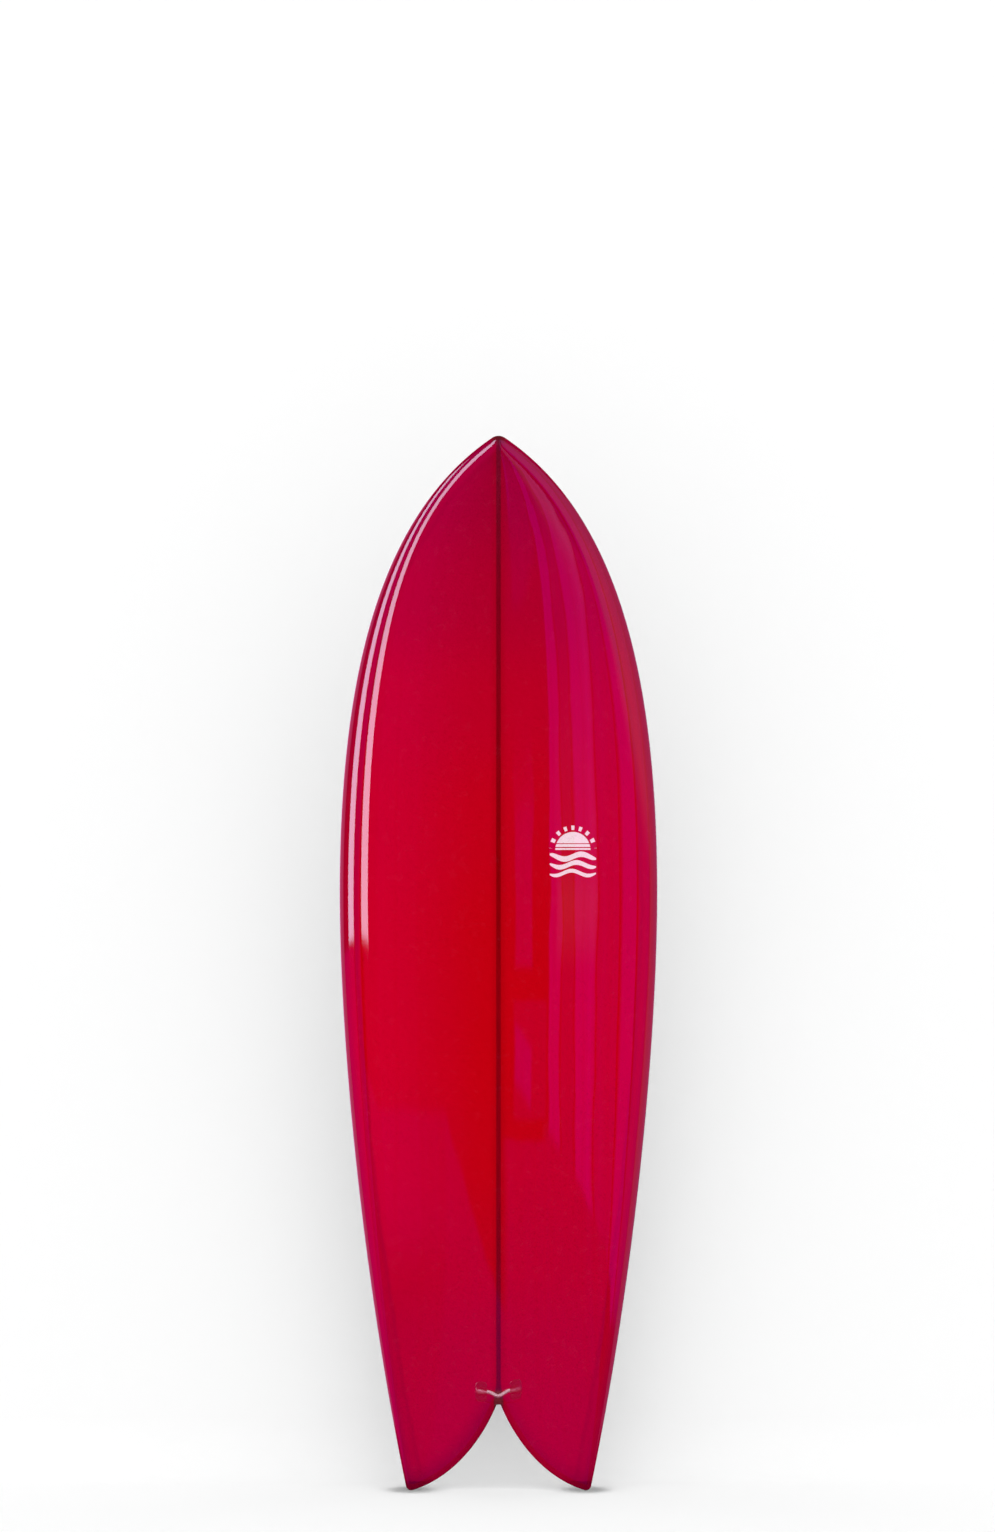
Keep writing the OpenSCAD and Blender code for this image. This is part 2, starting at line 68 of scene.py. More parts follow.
# main shape of the board, metres, up from the tail tips
board = {
    "length": deckHigh[2],
    "halfWidth": deckHigh[0],
    "thickness": 63.5 * mm,
    "wideHeight": 0.566 * deckHigh[2],
    "flatHeight": 0.45 * deckHigh[2],
    "noseRocker": 120 * mm,
    "tailRocker": 42 * mm,
    "noseEdge": 13 * mm,
    "tailEdge": 12.5 * mm,
    "deckShare": 0.62,
    "domeDrop": 0.33,
    "noseRadius": 20 * mm,
    "noseSlope": math.radians(33.7),
    "tipRadius": 9 * mm,
    "tipSpread": 295.6 * mm,
    "tipLean": math.radians(12),
    "forkDepth": 144 * mm,
    "crotchSlope": math.radians(67.5),
    "forkSlope": math.radians(16.7),
    "halfStringer": 3.175 * mm,
    "forkDeckRound": 12 * mm,
    "forkBottomRound": 7 * mm,
    "keelDepth": 124 * mm,
    "keelTipHeight": 172.8 * mm,
}
keelTipShare = (board["flatHeight"] - board["keelTipHeight"]) / board["flatHeight"]
boardMiddle = (board["noseRocker"] + board["deckShare"] * board["noseEdge"] - board["keelDepth"]
               + board["tailRocker"] * keelTipShare ** 2) / 2


def cubic(points, share):
    t = np.asarray(share, float)[..., None]
    p = [np.array(q, float) for q in points]
    return (1 - t) ** 3 * p[0] + 3 * (1 - t) ** 2 * t * p[1] + 3 * (1 - t) * t * t * p[2] + t ** 3 * p[3]


def direction(angle):
    return np.array([math.cos(angle), math.sin(angle)])


noseTouch = np.array([board["noseRadius"] * math.sin(board["noseSlope"]),
                      board["length"] - board["noseRadius"] * (1 - math.cos(board["noseSlope"]))])
widePoint = np.array([board["halfWidth"], board["wideHeight"]])
noseCurve = [noseTouch, noseTouch + 0.132 * board["length"] * direction(-board["noseSlope"]),
             widePoint + [0, 0.2 * board["length"]], widePoint]
tipCentre = np.array([board["tipSpread"] / 2, board["tipRadius"]])
tailTouch = tipCentre + board["tipRadius"] * direction(-board["tipLean"])
tailCurve = [widePoint, widePoint - [0, 0.149 * board["length"]],
             tailTouch + 0.19 * board["length"] * direction(math.pi / 2 - board["tipLean"]), tailTouch]
forkTouch = tipCentre - board["tipRadius"] * direction(math.pi / 2 - board["forkSlope"])
crotch = np.array([board["halfStringer"], board["forkDepth"]])
forkCurve = [crotch, crotch + 0.5 * board["forkDepth"] * direction(-board["crotchSlope"]),
             forkTouch + 0.465 * board["forkDepth"] * direction(math.pi - board["forkSlope"]), forkTouch]


def steps(count, start=0, end=1):
    # evenly spaced, without the start, which the stretch before already has
    return np.linspace(start, end, count + 1)[1:]


def tipArc(turn):
    turn = np.radians(turn)
    return tipCentre + board["tipRadius"] * np.stack([np.cos(turn), -np.sin(turn)], -1)


def smoothTable(heights, values, height):
    # eased steps between the listed sizes, so that highlights have no kinks
    x, y = np.array(heights), np.array(values)
    slope = np.gradient(y, x)
    slope[0] = slope[-1] = 0
    i = np.clip(np.searchsorted(x, height) - 1, 0, len(x) - 2)
    span = x[i + 1] - x[i]
    t = np.clip((height - x[i]) / span, 0, 1)
    return ((2 * t ** 3 - 3 * t ** 2 + 1) * y[i] + (t ** 3 - 2 * t ** 2 + t) * span * slope[i]
            + (3 * t ** 2 - 2 * t ** 3) * y[i + 1] + (t ** 3 - t ** 2) * span * slope[i + 1])


deckRound = ([0, 0.15, 0.587, 0.889, 1.334, 1.778], [0.009, 0.016, 0.044, 0.058, 0.050, 0.020])
bottomRound = ([0, 0.15, 0.587, 0.889, 1.334, 1.778], [0.0072, 0.009, 0.022, 0.030, 0.026, 0.016])


def thickness(h):
    up = np.clip((h - board["wideHeight"]) / (board["length"] - board["wideHeight"]), 0, 1)
    down = np.clip((board["wideHeight"] - h) / board["wideHeight"], 0, 1)
    return np.where(h > board["wideHeight"],
                    board["thickness"] + (board["noseEdge"] - board["thickness"]) * up ** 2.3,
                    board["thickness"] + (board["tailEdge"] - board["thickness"]) * down ** 2)


def rocker(h):
    up = np.clip((h - board["flatHeight"]) / (board["length"] - board["flatHeight"]), 0, None)
    down = np.clip((board["flatHeight"] - h) / board["flatHeight"], 0, None)
    return np.where(h > board["flatHeight"], board["noseRocker"] * up ** 2.4, board["tailRocker"] * down ** 2)


def roundEdge(share):
    return np.sqrt(np.clip(1 - (1 - np.clip(share, 0, 1)) ** 2, 0, 1))


def lineGap(points, line):
    best = np.full(points.shape[:-1], 9.0)
    for a, b in zip(line[:-1], line[1:]):
        d = b - a
        t = np.clip(((points - a) @ d) / max(d @ d, 1e-12), 0, 1)
        best = np.minimum(best, np.linalg.norm(points - a - t[..., None] * d, axis=-1))
    return best


# rows of the half board: the inner end runs down the middle and along the fork, the outer end down the rail
# counts of rows from the nose to the tips, then where the rows fan out above the crotch
rowPlan = {"noseArc": 9, "nose": 65, "upper": 45, "fan": 18, "fork": 42, "tip": 10,
           "fanInner": 75 * mm, "fanTop": 130 * mm, "fanFoot": 48 * mm, "crotchStep": 3 * mm}
tipTurns = {"outer": 12, "meet": 60, "inner": 106.7}
outerLine = np.concatenate([
    [[board["noseRadius"] * math.sin(a), board["length"] - board["noseRadius"] * (1 - math.cos(a))]
     for a in np.linspace(0, board["noseSlope"], rowPlan["noseArc"])],
    cubic(noseCurve, steps(rowPlan["nose"])),
    cubic(tailCurve, steps(119)),
    tipArc(steps(8, tipTurns["outer"], tipTurns["meet"]))])
outlineByHeight = outerLine[::-1]


def halfWidthAt(h):
    return np.maximum(np.interp(h, outlineByHeight[:, 1], outlineByHeight[:, 0]), 1 * mm)


tailShare = np.linspace(0, 1, 400)
tailHeights = cubic(tailCurve, tailShare)[:, 1]


def tailOutline(h):
    return cubic(tailCurve, np.interp(h, tailHeights[::-1], tailShare[::-1]))


def middleLine(heights):
    return np.stack([np.zeros(len(heights)), heights], -1)


noseRows = outerLine[:rowPlan["noseArc"] + rowPlan["nose"]]
upper = steps(rowPlan["upper"])
fan = steps(rowPlan["fan"])
wideHeight, forkDepth = board["wideHeight"], board["forkDepth"]
innerTop, outerTop = forkDepth + rowPlan["fanInner"], forkDepth + rowPlan["fanTop"]
outerFoot = forkDepth + rowPlan["fanFoot"]
upperIn = middleLine(wideHeight + (innerTop - wideHeight) * upper)
upperOut = tailOutline(wideHeight + (outerTop - wideHeight) * upper)
fanIn = middleLine(forkDepth + rowPlan["fanInner"] * (1 - fan) ** 2)
fanOut = tailOutline(outerTop + (outerFoot - outerTop) * fan)
edgeIn = np.array([[board["halfStringer"] * s, forkDepth] for s in (0.5, 1)])
edgeOut = tailOutline(outerFoot - np.array([0.5, 1]) * rowPlan["crotchStep"])
forkTop = outerFoot - rowPlan["crotchStep"]
forkIn = cubic(forkCurve, steps(rowPlan["fork"]))
forkOut = tailOutline(forkTop + (tailTouch[1] - forkTop) * steps(rowPlan["fork"]))
tipIn = tipArc(steps(rowPlan["tip"], tipTurns["inner"], tipTurns["meet"]))
tipOut = tipArc(steps(rowPlan["tip"], tipTurns["outer"], tipTurns["meet"]))
innerEnds = np.concatenate([middleLine(noseRows[:, 1]), upperIn, fanIn, edgeIn, forkIn, tipIn])
outerEnds = np.concatenate([noseRows, upperOut, fanOut, edgeOut, forkOut, tipOut])
crotchRow = len(noseRows) + rowPlan["upper"] + rowPlan["fan"] - 1
railLine = outerEnds
forkLine = np.concatenate([[[-board["halfStringer"], board["forkDepth"]]], innerEnds[crotchRow:]])

innerTurns = np.radians([0, 18, 36, 52, 66, 79, 90])
middleShares = np.linspace(0, 1, 12)[1:-1]
railTurns = np.radians(np.linspace(90, 0, 15))
rowCount = len(innerEnds)


def planPoints():
    reach = np.linalg.norm(outerEnds - innerEnds, axis=1)
    opened = np.clip((innerEnds[:, 1] - board["forkDepth"]) / rowPlan["fanInner"], 0, 1)[:, None]
    tight = (1 - np.cos(innerTurns)) * board["forkDeckRound"]
    loose = np.linspace(0, 1, 7) * 60 * mm
    inner = tight * (1 - opened) + loose * opened
    rounding = smoothTable(*deckRound, outerEnds[:, 1])
    fit = np.minimum(1, reach / (1.5 * (inner[:, -1] + rounding)))
    start, end = inner[:, -1] * fit, reach - rounding * fit
    places = np.concatenate([
        inner * fit[:, None],
        start[:, None] + (end - start)[:, None] * middleShares,
        reach[:, None] - ((1 - np.cos(railTurns)) * rounding[:, None]) * fit[:, None]], 1)
    share = places / np.maximum(reach, 1e-9)[:, None]
    return innerEnds[:, None] + (outerEnds - innerEnds)[:, None] * share[..., None]


plan = planPoints()
railColumn = plan.shape[1] - 1
toRail, toFork = lineGap(plan, railLine), lineGap(plan, forkLine)
height = plan[..., 1]
apex = rocker(height) + (1 - board["deckShare"]) * thickness(height)


def deckDome(x, h):
    away = np.clip(np.abs(x) / halfWidthAt(h), 0, 1)
    return board["deckShare"] * thickness(h) * (1 - board["domeDrop"] * away ** 2)


deckUp = apex + deckDome(plan[..., 0], height) * np.minimum(
    roundEdge(toRail / smoothTable(*deckRound, height)), roundEdge(toFork / board["forkDeckRound"]))
bottomUp = apex - (1 - board["deckShare"]) * thickness(height) * np.minimum(
    roundEdge(toRail / smoothTable(*bottomRound, height)), roundEdge(toFork / board["forkBottomRound"]))
deckUp[:, railColumn] = bottomUp[:, railColumn] = apex[:, railColumn]
deckUp[crotchRow:, 0] = bottomUp[crotchRow:, 0] = apex[crotchRow:, 0]


def deckPoint(x, h, rise=0.0):
    # a point at a rise above the deck, away from the rounded edges
    up = float(rocker(h) + (1 - board["deckShare"]) * thickness(h) + deckDome(x, h))
    return Vector((x, boardMiddle - up - rise, h))


def bottomPoint(x, h, rise=0.0):
    return Vector((x, boardMiddle - float(rocker(h)) + rise, h))


def keepMesh(name, bm, material):
    mesh = bpy.data.meshes.new(name)
    bm.to_mesh(mesh)
    bm.free()
    mesh.shade_smooth()
    mesh.materials.append(material)
    piece = bpy.data.objects.new(name, mesh)
    scene.collection.objects.link(piece)
    return piece


def place(piece, slot, *nodes):
    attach(piece, "root")
    if nodes:
        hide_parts(*nodes)
    return piece


print("board shape ready")


# material helpers

def addNode(tree, kind, **values):
    node = tree.nodes.new(kind)
    for key, value in values.items():
        if hasattr(node, key):
            setattr(node, key, value)
        else:
            node.inputs[key.replace("_", " ")].default_value = value
    return node


def wire(tree, source, target):
    tree.links.new(source, target)


def mathNode(tree, operation, a, b=None, clamp=False):
    node = tree.nodes.new("ShaderNodeMath")
    node.operation = operation
    node.use_clamp = clamp
    for socket, value in zip(node.inputs, (a, b)):
        if value is None:
            continue
        if isinstance(value, (int, float)):
            socket.default_value = value
        else:
            tree.links.new(value, socket)
    return node.outputs[0]


def rangeNode(tree, value, low, high, outLow=0.0, outHigh=1.0, ease=True):
    node = tree.nodes.new("ShaderNodeMapRange")
    node.interpolation_type = "SMOOTHSTEP" if ease else "LINEAR"
    for socket, number in zip(node.inputs[1:5], (low, high, outLow, outHigh)):
        socket.default_value = number
    tree.links.new(value, node.inputs[0])
    return node.outputs[0]


def mixColour(tree, share, a, b, blend="MIX"):
    node = tree.nodes.new("ShaderNodeMix")
    node.data_type = "RGBA"
    node.blend_type = blend
    sockets = [s for s in node.inputs if s.enabled]
    for socket, value in zip(sockets, (share, a, b)):
        if isinstance(value, (int, float)):
            socket.default_value = value
        elif isinstance(value, tuple):
            socket.default_value = (*value, 1) if len(value) == 3 else value
        else:
            tree.links.new(value, socket)
    return [s for s in node.outputs if s.enabled][0]


def linear(r, g, b):
    def one(v):
        v /= 255
        return v / 12.92 if v <= 0.04045 else ((v + 0.055) / 1.055) ** 2.4
    return (one(r), one(g), one(b))


def times(tree, a, b):
    return mathNode(tree, "MULTIPLY", a, b)


def blendIn(tree, body, mask, share, colour):
    # lays a colour over the body where the mask says, at most by the share
    return mixColour(tree, times(tree, mask, share), body, linear(*colour))


def attribute(tree, name):
    return addNode(tree, "ShaderNodeAttribute", attribute_name=name).outputs["Fac"]


def noiseNode(tree, vector, **values):
    noise = addNode(tree, "ShaderNodeTexNoise", **values)
    wire(tree, vector, noise.inputs["Vector"])
    return noise


def stretched(tree, vector, amounts):
    node = addNode(tree, "ShaderNodeVectorMath", operation="MULTIPLY")
    node.inputs[1].default_value = amounts
    wire(tree, vector, node.inputs[0])
    return node.outputs[0]


def splitNode(tree, vector):
    split = tree.nodes.new("ShaderNodeSeparateXYZ")
    wire(tree, vector, split.inputs[0])
    return split.outputs


def rampNode(tree, value, stops, ease="LINEAR"):
    node = tree.nodes.new("ShaderNodeValToRGB")
    ramp = node.color_ramp
    ramp.interpolation = ease
    ramp.elements[0].position, ramp.elements[0].color = stops[0][0], (*stops[0][1], 1)
    ramp.elements[1].position, ramp.elements[1].color = stops[-1][0], (*stops[-1][1], 1)
    for position, colour in stops[1:-1]:
        ramp.elements.new(position).color = (*colour, 1)
    tree.links.new(value, node.inputs[0])
    return node.outputs[0]


def newGroup(name, inputs, outputs):
    group = bpy.data.node_groups.new(name, "ShaderNodeTree")
    for label, kind, value in inputs:
        socket = group.interface.new_socket(name=label, in_out="INPUT", socket_type=kind)
        if value is not None:
            socket.default_value = value
    for label, kind in outputs:
        group.interface.new_socket(name=label, in_out="OUTPUT", socket_type=kind)
    return group, group.nodes.new("NodeGroupInput"), group.nodes.new("NodeGroupOutput")


def useGroup(tree, group, **values):
    node = tree.nodes.new("ShaderNodeGroup")
    node.node_tree = group
    for key, value in values.items():
        socket = node.inputs[key]
        if isinstance(value, (int, float)):
            socket.default_value = value
        elif isinstance(value, tuple):
            socket.default_value = (*value, 1)
        else:
            tree.links.new(value, socket)
    return node


def newMaterial(name, **settings):
    material = bpy.data.materials.new(name)
    material.use_nodes = True
    tree = material.node_tree
    shader = tree.nodes["Principled BSDF"]
    for key, value in settings.items():
        shader.inputs[key.replace("_", " ")].default_value = value
    coords = tree.nodes.new("ShaderNodeTexCoord")
    return material, tree, shader, coords.outputs["Object"]


def setBump(tree, shader, heightSocket, strength, distance):
    bump = addNode(tree, "ShaderNodeBump")
    bump.inputs["Strength"].default_value = strength
    bump.inputs["Distance"].default_value = distance
    tree.links.new(heightSocket, bump.inputs["Height"])
    tree.links.new(bump.outputs["Normal"], shader.inputs["Normal"])
    return bump


# resin cloud: slow pigment drift plus fine specks
resinCloud, groupIn, groupOut = newGroup(
    "resin cloud", [("Vector", "NodeSocketVector", None), ("Scale", "NodeSocketFloat", 6.0),
                    ("Stretch", "NodeSocketFloat", 0.35), ("Speck Size", "NodeSocketFloat", 900.0)],
    [("Cloud", "NodeSocketFloat"), ("Specks", "NodeSocketFloat")])
t = resinCloud
stretch = addNode(t, "ShaderNodeCombineXYZ", X=1.0, Y=1.0)
wire(t, groupIn.outputs["Stretch"], stretch.inputs["Z"])
moved = addNode(t, "ShaderNodeVectorMath", operation="MULTIPLY")
wire(t, groupIn.outputs["Vector"], moved.inputs[0])
wire(t, stretch.outputs[0], moved.inputs[1])
slow = noiseNode(t, moved.outputs[0], Detail=5.0, Roughness=0.55, Distortion=0.6)
wire(t, groupIn.outputs["Scale"], slow.inputs["Scale"])
wire(t, rangeNode(t, slow.outputs[0], 0.3, 0.7), groupOut.inputs["Cloud"])
dots = addNode(t, "ShaderNodeTexVoronoi", feature="F1", Randomness=1.0)
wire(t, groupIn.outputs["Vector"], dots.inputs["Vector"])
wire(t, groupIn.outputs["Speck Size"], dots.inputs["Scale"])
rare = noiseNode(t, groupIn.outputs["Vector"], Scale=70.0, Detail=1.0)
speck = times(t, rangeNode(t, dots.outputs["Distance"], 0.28, 0.16),
              rangeNode(t, rare.outputs[0], 0.6, 0.68))
wire(t, speck, groupOut.inputs["Specks"])

# glass cloth: the square weave that shows faintly in the resin
clothWeave, groupIn, groupOut = newGroup(
    "cloth weave", [("Vector", "NodeSocketVector", None), ("Threads", "NodeSocketFloat", 700.0)],
    [("Weave", "NodeSocketFloat")])
t = clothWeave
scaled = addNode(t, "ShaderNodeVectorMath", operation="SCALE")
wire(t, groupIn.outputs["Vector"], scaled.inputs[0])
wire(t, groupIn.outputs["Threads"], scaled.inputs["Scale"])
parts = splitNode(t, scaled.outputs[0])
across = mathNode(t, "ABSOLUTE", mathNode(t, "SINE", parts["X"]))
along = mathNode(t, "ABSOLUTE", mathNode(t, "SINE", parts["Z"]))
wire(t, times(t, across, along), groupOut.inputs["Weave"])

# long ripples left by sanding and polishing
sandedRipple, groupIn, groupOut = newGroup(
    "sanded ripple", [("Vector", "NodeSocketVector", None), ("Scale", "NodeSocketFloat", 9.0)],
    [("Ripple", "NodeSocketFloat")])
t = sandedRipple
flatten = stretched(t, groupIn.outputs["Vector"], (1.6, 1.0, 0.35))
wave = noiseNode(t, flatten, Detail=2.0, Roughness=0.4)
wire(t, groupIn.outputs["Scale"], wave.inputs["Scale"])
wire(t, wave.outputs[0], groupOut.inputs["Ripple"])

# wood grain along Z
woodGrain, groupIn, groupOut = newGroup(
    "wood grain", [("Vector", "NodeSocketVector", None), ("Rings", "NodeSocketFloat", 120.0),
                   ("Light", "NodeSocketColor", (0.6, 0.36, 0.17, 1)),
                   ("Dark", "NodeSocketColor", (0.3, 0.14, 0.06, 1))],
    [("Colour", "NodeSocketColor"), ("Grain", "NodeSocketFloat")])
t = woodGrain
lengthen = stretched(t, groupIn.outputs["Vector"], (1.0, 1.0, 0.06))
rings = noiseNode(t, lengthen, Detail=6.0, Roughness=0.6, Distortion=0.4)
wire(t, groupIn.outputs["Rings"], rings.inputs["Scale"])
fibres = rangeNode(t, rings.outputs[0], 0.35, 0.68)
wire(t, mixColour(t, fibres, groupIn.outputs["Light"], groupIn.outputs["Dark"]), groupOut.inputs["Colour"])
wire(t, fibres, groupOut.inputs["Grain"])

resinFinish = {"Roughness": 0.5, "Specular_IOR_Level": 0.0, "Coat_Weight": 1.0, "Coat_IOR": 1.5}

# tinted laminates: colours up the board, then how strongly each mark is laid over them and its colour
tint = {
    "stops": [(0.0, (176, 0, 46)), (0.06, (178, 0, 42)), (0.13, (180, 0, 36)), (0.22, (186, 0, 26)),
              (0.32, (191, 0, 18)), (0.42, (194, 0, 15)), (0.52, (193, 0, 16)), (0.64, (191, 0, 24)),
              (0.75, (185, 0, 34)), (0.85, (172, 0, 41)), (0.95, (158, 0, 45)), (1.0, (144, 2, 46))],
    "woodStops": [(0.0, (112, 12, 40)), (0.12, (116, 4, 36)), (0.3, (132, 0, 20)), (0.6, (138, 0, 6)),
                  (0.85, (122, 2, 26)), (1.0, (108, 12, 40))],
    "cloud": (0.05, (150, 0, 24)),
    "lap": (0.22, (160, 0, 42)),
    "lapLine": (0.16, (120, 0, 30)),
    # rail: painted shade, the rails darkened where they turn away from the light
    "rail": (0.75, (146, 1, 50)),
    "glow": (0.34, (150, 0, 4)),
    "grain": (0.35, (92, 0, 6)),
    "crotch": (0.9, (104, 34, 42)),
    "noseCap": (0.7, (84, 26, 30)),
    "speck": (0.22, (222, 90, 120)),
    # fork: painted shade in the fork between the tail lobes
    "fork": (138, 0, 42),
    "line": 0.93,
}
# where each mark fades in, metres: from the rail or the fork, from the middle line, or up the board
marks = {
    "lap": (0.034, 0.029), "lapFork": (0.021, 0.017),
    "lapLine": (0.036, 0.030), "lapLineInner": (0.020, 0.030),
    # rail and fork place painted shade along the rails and in the fork; forkSide makes the fork's painted
    # shade stronger on the left lobe
    "rail": (0.024, 0.0), "fork": (0.045, 0.0), "forkSide": (0.02, -0.02),
    "line": (0.0052, 0.0026), "glow": (0.017, 0.003), "lineEnd": (0.186, 0.150), "lineWidens": 0.0042,
    "crotchAcross": (0.0095, 0.0045), "crotchUp": (0.176, 0.160),
    "capAcross": (0.016, 0.006), "capUp": (board["length"] - 0.02, board["length"] - 0.004),
}


def tintedLaminate(name):
    material, tree, shader, place3d = newMaterial(name, Coat_Roughness=0.018, **resinFinish)
    split = splitNode(tree, place3d)
    x, z = split["X"], split["Z"]
    share = mathNode(tree, "DIVIDE", z, board["length"])
    body = rampNode(tree, share, [(p, linear(*c)) for p, c in tint["stops"]], "EASE")
    cloud = useGroup(tree, resinCloud, Vector=place3d, Scale=7.0)
    body = blendIn(tree, body, cloud.outputs["Cloud"], *tint["cloud"])
    gap = attribute(tree, "railGap")
    fork = attribute(tree, "forkGap")
    # double cloth round the rails and the fork, with a darker line where the lap ends
    wander = noiseNode(tree, place3d, Scale=14.0, Detail=3.0)
    drift = times(tree, mathNode(tree, "SUBTRACT", wander.outputs[0], 0.5), 0.012)
    lapGap = mathNode(tree, "ADD", gap, drift)
    lap = mathNode(tree, "MAXIMUM", rangeNode(tree, lapGap, *marks["lap"]),
                   rangeNode(tree, fork, *marks["lapFork"]))
    lapLine = times(tree, rangeNode(tree, lapGap, *marks["lapLine"]),
                    rangeNode(tree, lapGap, *marks["lapLineInner"]))
    body = blendIn(tree, body, lap, *tint["lap"])
    body = blendIn(tree, body, lapLine, *tint["lapLine"])
    # painted shade along the rails, a few centimetres in from their edge
    body = blendIn(tree, body, rangeNode(tree, gap, *marks["rail"]), *tint["rail"])
    # painted shade in the fork, darker on the left lobe than on the right
    forkSide = rangeNode(tree, x, *marks["forkSide"], 0.35, 0.75)
    forkShade = times(tree, rangeNode(tree, fork, *marks["fork"]), forkSide)
    body = mixColour(tree, forkShade, body, linear(*tint["fork"]))
    # the stringer shows through as a soft dark line
    off = mathNode(tree, "ABSOLUTE", x)
    nearEnd = rangeNode(tree, z, *marks["lineEnd"])
    core = mathNode(tree, "SUBTRACT", off, times(tree, nearEnd, marks["lineWidens"]))
    line = rangeNode(tree, core, *marks["line"])
    woodLine = rampNode(tree, share, [(p, linear(*c)) for p, c in tint["woodStops"]])
    grain = useGroup(tree, woodGrain, Vector=place3d, Rings=300.0)
    body = blendIn(tree, body, rangeNode(tree, off, *marks["glow"]), *tint["glow"])
    woodLine = blendIn(tree, woodLine, grain.outputs["Grain"], *tint["grain"])
    body = mixColour(tree, times(tree, line, tint["line"]), body, woodLine)
    # resin build-up in the crotch and on the nose point
    crotchMark = times(tree, rangeNode(tree, off, *marks["crotchAcross"]),
                       rangeNode(tree, z, *marks["crotchUp"]))
    body = blendIn(tree, body, crotchMark, *tint["crotch"])
    cap = times(tree, rangeNode(tree, z, *marks["capUp"]),
                rangeNode(tree, off, *marks["capAcross"]))
    body = blendIn(tree, body, cap, *tint["noseCap"])
    body = blendIn(tree, body, cloud.outputs["Specks"], *tint["speck"])
    wire(tree, body, shader.inputs["Base Color"])
    weave = useGroup(tree, clothWeave, Vector=place3d, Threads=2600.0)
    wire(tree, rangeNode(tree, weave.outputs[0], 0, 1, 0.46, 0.54), shader.inputs["Roughness"])
    ripple = useGroup(tree, sandedRipple, Vector=place3d, Scale=8.0)
    fine = noiseNode(tree, place3d, Scale=160.0, Detail=2.0)
    surface = mathNode(tree, "ADD", ripple.outputs[0], times(tree, fine.outputs[0], 0.004))
    bump = setBump(tree, shader, surface, 0.14, 0.0016)
    wire(tree, bump.outputs["Normal"], shader.inputs["Coat Normal"])
    return material


deckGloss = tintedLaminate("deck gloss")
bottomGloss = tintedLaminate("bottom gloss")
print("laminate materials ready")

# board skins
skin = {"forkLap": 9.6 * mm, "railLap": 0.72}


def boardGrid():
    columns, rows = 2 * railColumn, rowCount - 1
    bm = bmesh.new()
    bmesh.ops.create_grid(bm, x_segments=columns, y_segments=rows, size=1)
    rail = bm.verts.layers.float.new("railGap")
    fork = bm.verts.layers.float.new("forkGap")
    side = bm.verts.layers.int.new("column")
    for v in bm.verts:
        j = round((v.co.x + 1) / 2 * columns)
        r = round((1 - v.co.y) / 2 * rows)
        c, up = (j, deckUp) if j <= railColumn else (columns - j, bottomUp)
        v.co = (plan[r, c, 0], boardMiddle - up[r, c], plan[r, c, 1])
        v[rail], v[fork], v[side] = toRail[r, c], toFork[r, c], j
    bmesh.ops.remove_doubles(bm, verts=bm.verts, dist=1e-6)
    bmesh.ops.dissolve_degenerate(bm, edges=bm.edges, dist=1e-7)
    bmesh.ops.mirror(bm, geom=bm.verts[:] + bm.edges[:] + bm.faces[:], matrix=Matrix.Identity(4),
                     merge_dist=1e-6, axis="X")
    bmesh.ops.recalc_face_normals(bm, faces=bm.faces)
    return bm, rail, fork, side


def underside(face, rail, fork, side):
    # true where the bottom cloth is outermost: past the lap of the deck cloth
    onBottom = min(v[side] for v in face.verts) >= railColumn
    lap = smoothTable(*deckRound, face.calc_center_median().z) * skin["railLap"]
    deepRail = min(v[rail] for v in face.verts) > lap
    return onBottom and deepRail and min(v[fork] for v in face.verts) > skin["forkLap"]


def boardSkin(name, wantBottom, material):
    bm, rail, fork, side = boardGrid()
    drop = [f for f in bm.faces if underside(f, rail, fork, side) != wantBottom]
    bmesh.ops.delete(bm, geom=drop, context="FACES")
    return keepMesh(name, bm, material)


deckSkin = place(boardSkin("deckSkin", False, deckGloss), "deck_glass", "deck_laminate")
bottomSkin = place(boardSkin("bottomSkin", True, bottomGloss), "bottom_glass", "bottom_laminate")
print("board skins ready", len(deckSkin.data.polygons), len(bottomSkin.data.polygons))


# surfaces swept on a grid: rows of points, closed round or open

def sweep(name, rows, material, closed=False, capped=False, values=None, toward=None):
    rows = [list(r) + ([r[0]] if closed else []) for r in rows]
    across, along = len(rows[0]) - 1, len(rows) - 1
    bm = bmesh.new()
    bmesh.ops.create_grid(bm, x_segments=across, y_segments=along, size=1)
    layers = {key: bm.verts.layers.float.new(key) for key in values or {}}
    for v in bm.verts:
        i, r = round((v.co.x + 1) / 2 * across), round((v.co.y + 1) / 2 * along)
        v.co = rows[r][i]
        for key, layer in layers.items():
            v[layer] = values[key][r][i % len(values[key][r])]
    bmesh.ops.remove_doubles(bm, verts=bm.verts, dist=1e-6)
    bmesh.ops.dissolve_degenerate(bm, edges=bm.edges, dist=1e-7)
    if capped:
        bmesh.ops.holes_fill(bm, edges=[e for e in bm.edges if e.is_boundary], sides=0)
    bmesh.ops.recalc_face_normals(bm, faces=bm.faces)
    if toward and sum((f.normal * f.calc_area() for f in bm.faces), Vector()).dot(toward) < 0:
        bmesh.ops.reverse_faces(bm, faces=bm.faces)
    return keepMesh(name, bm, material)


# printed decal under the gloss coat: a low sun over three swells
decal = {"across": 125.5 * mm, "height": 0.6065 * board["length"], "halfWidth": 41 * mm,
         "halfHeight": 48 * mm, "rise": 0.3 * mm, "steps": 16}


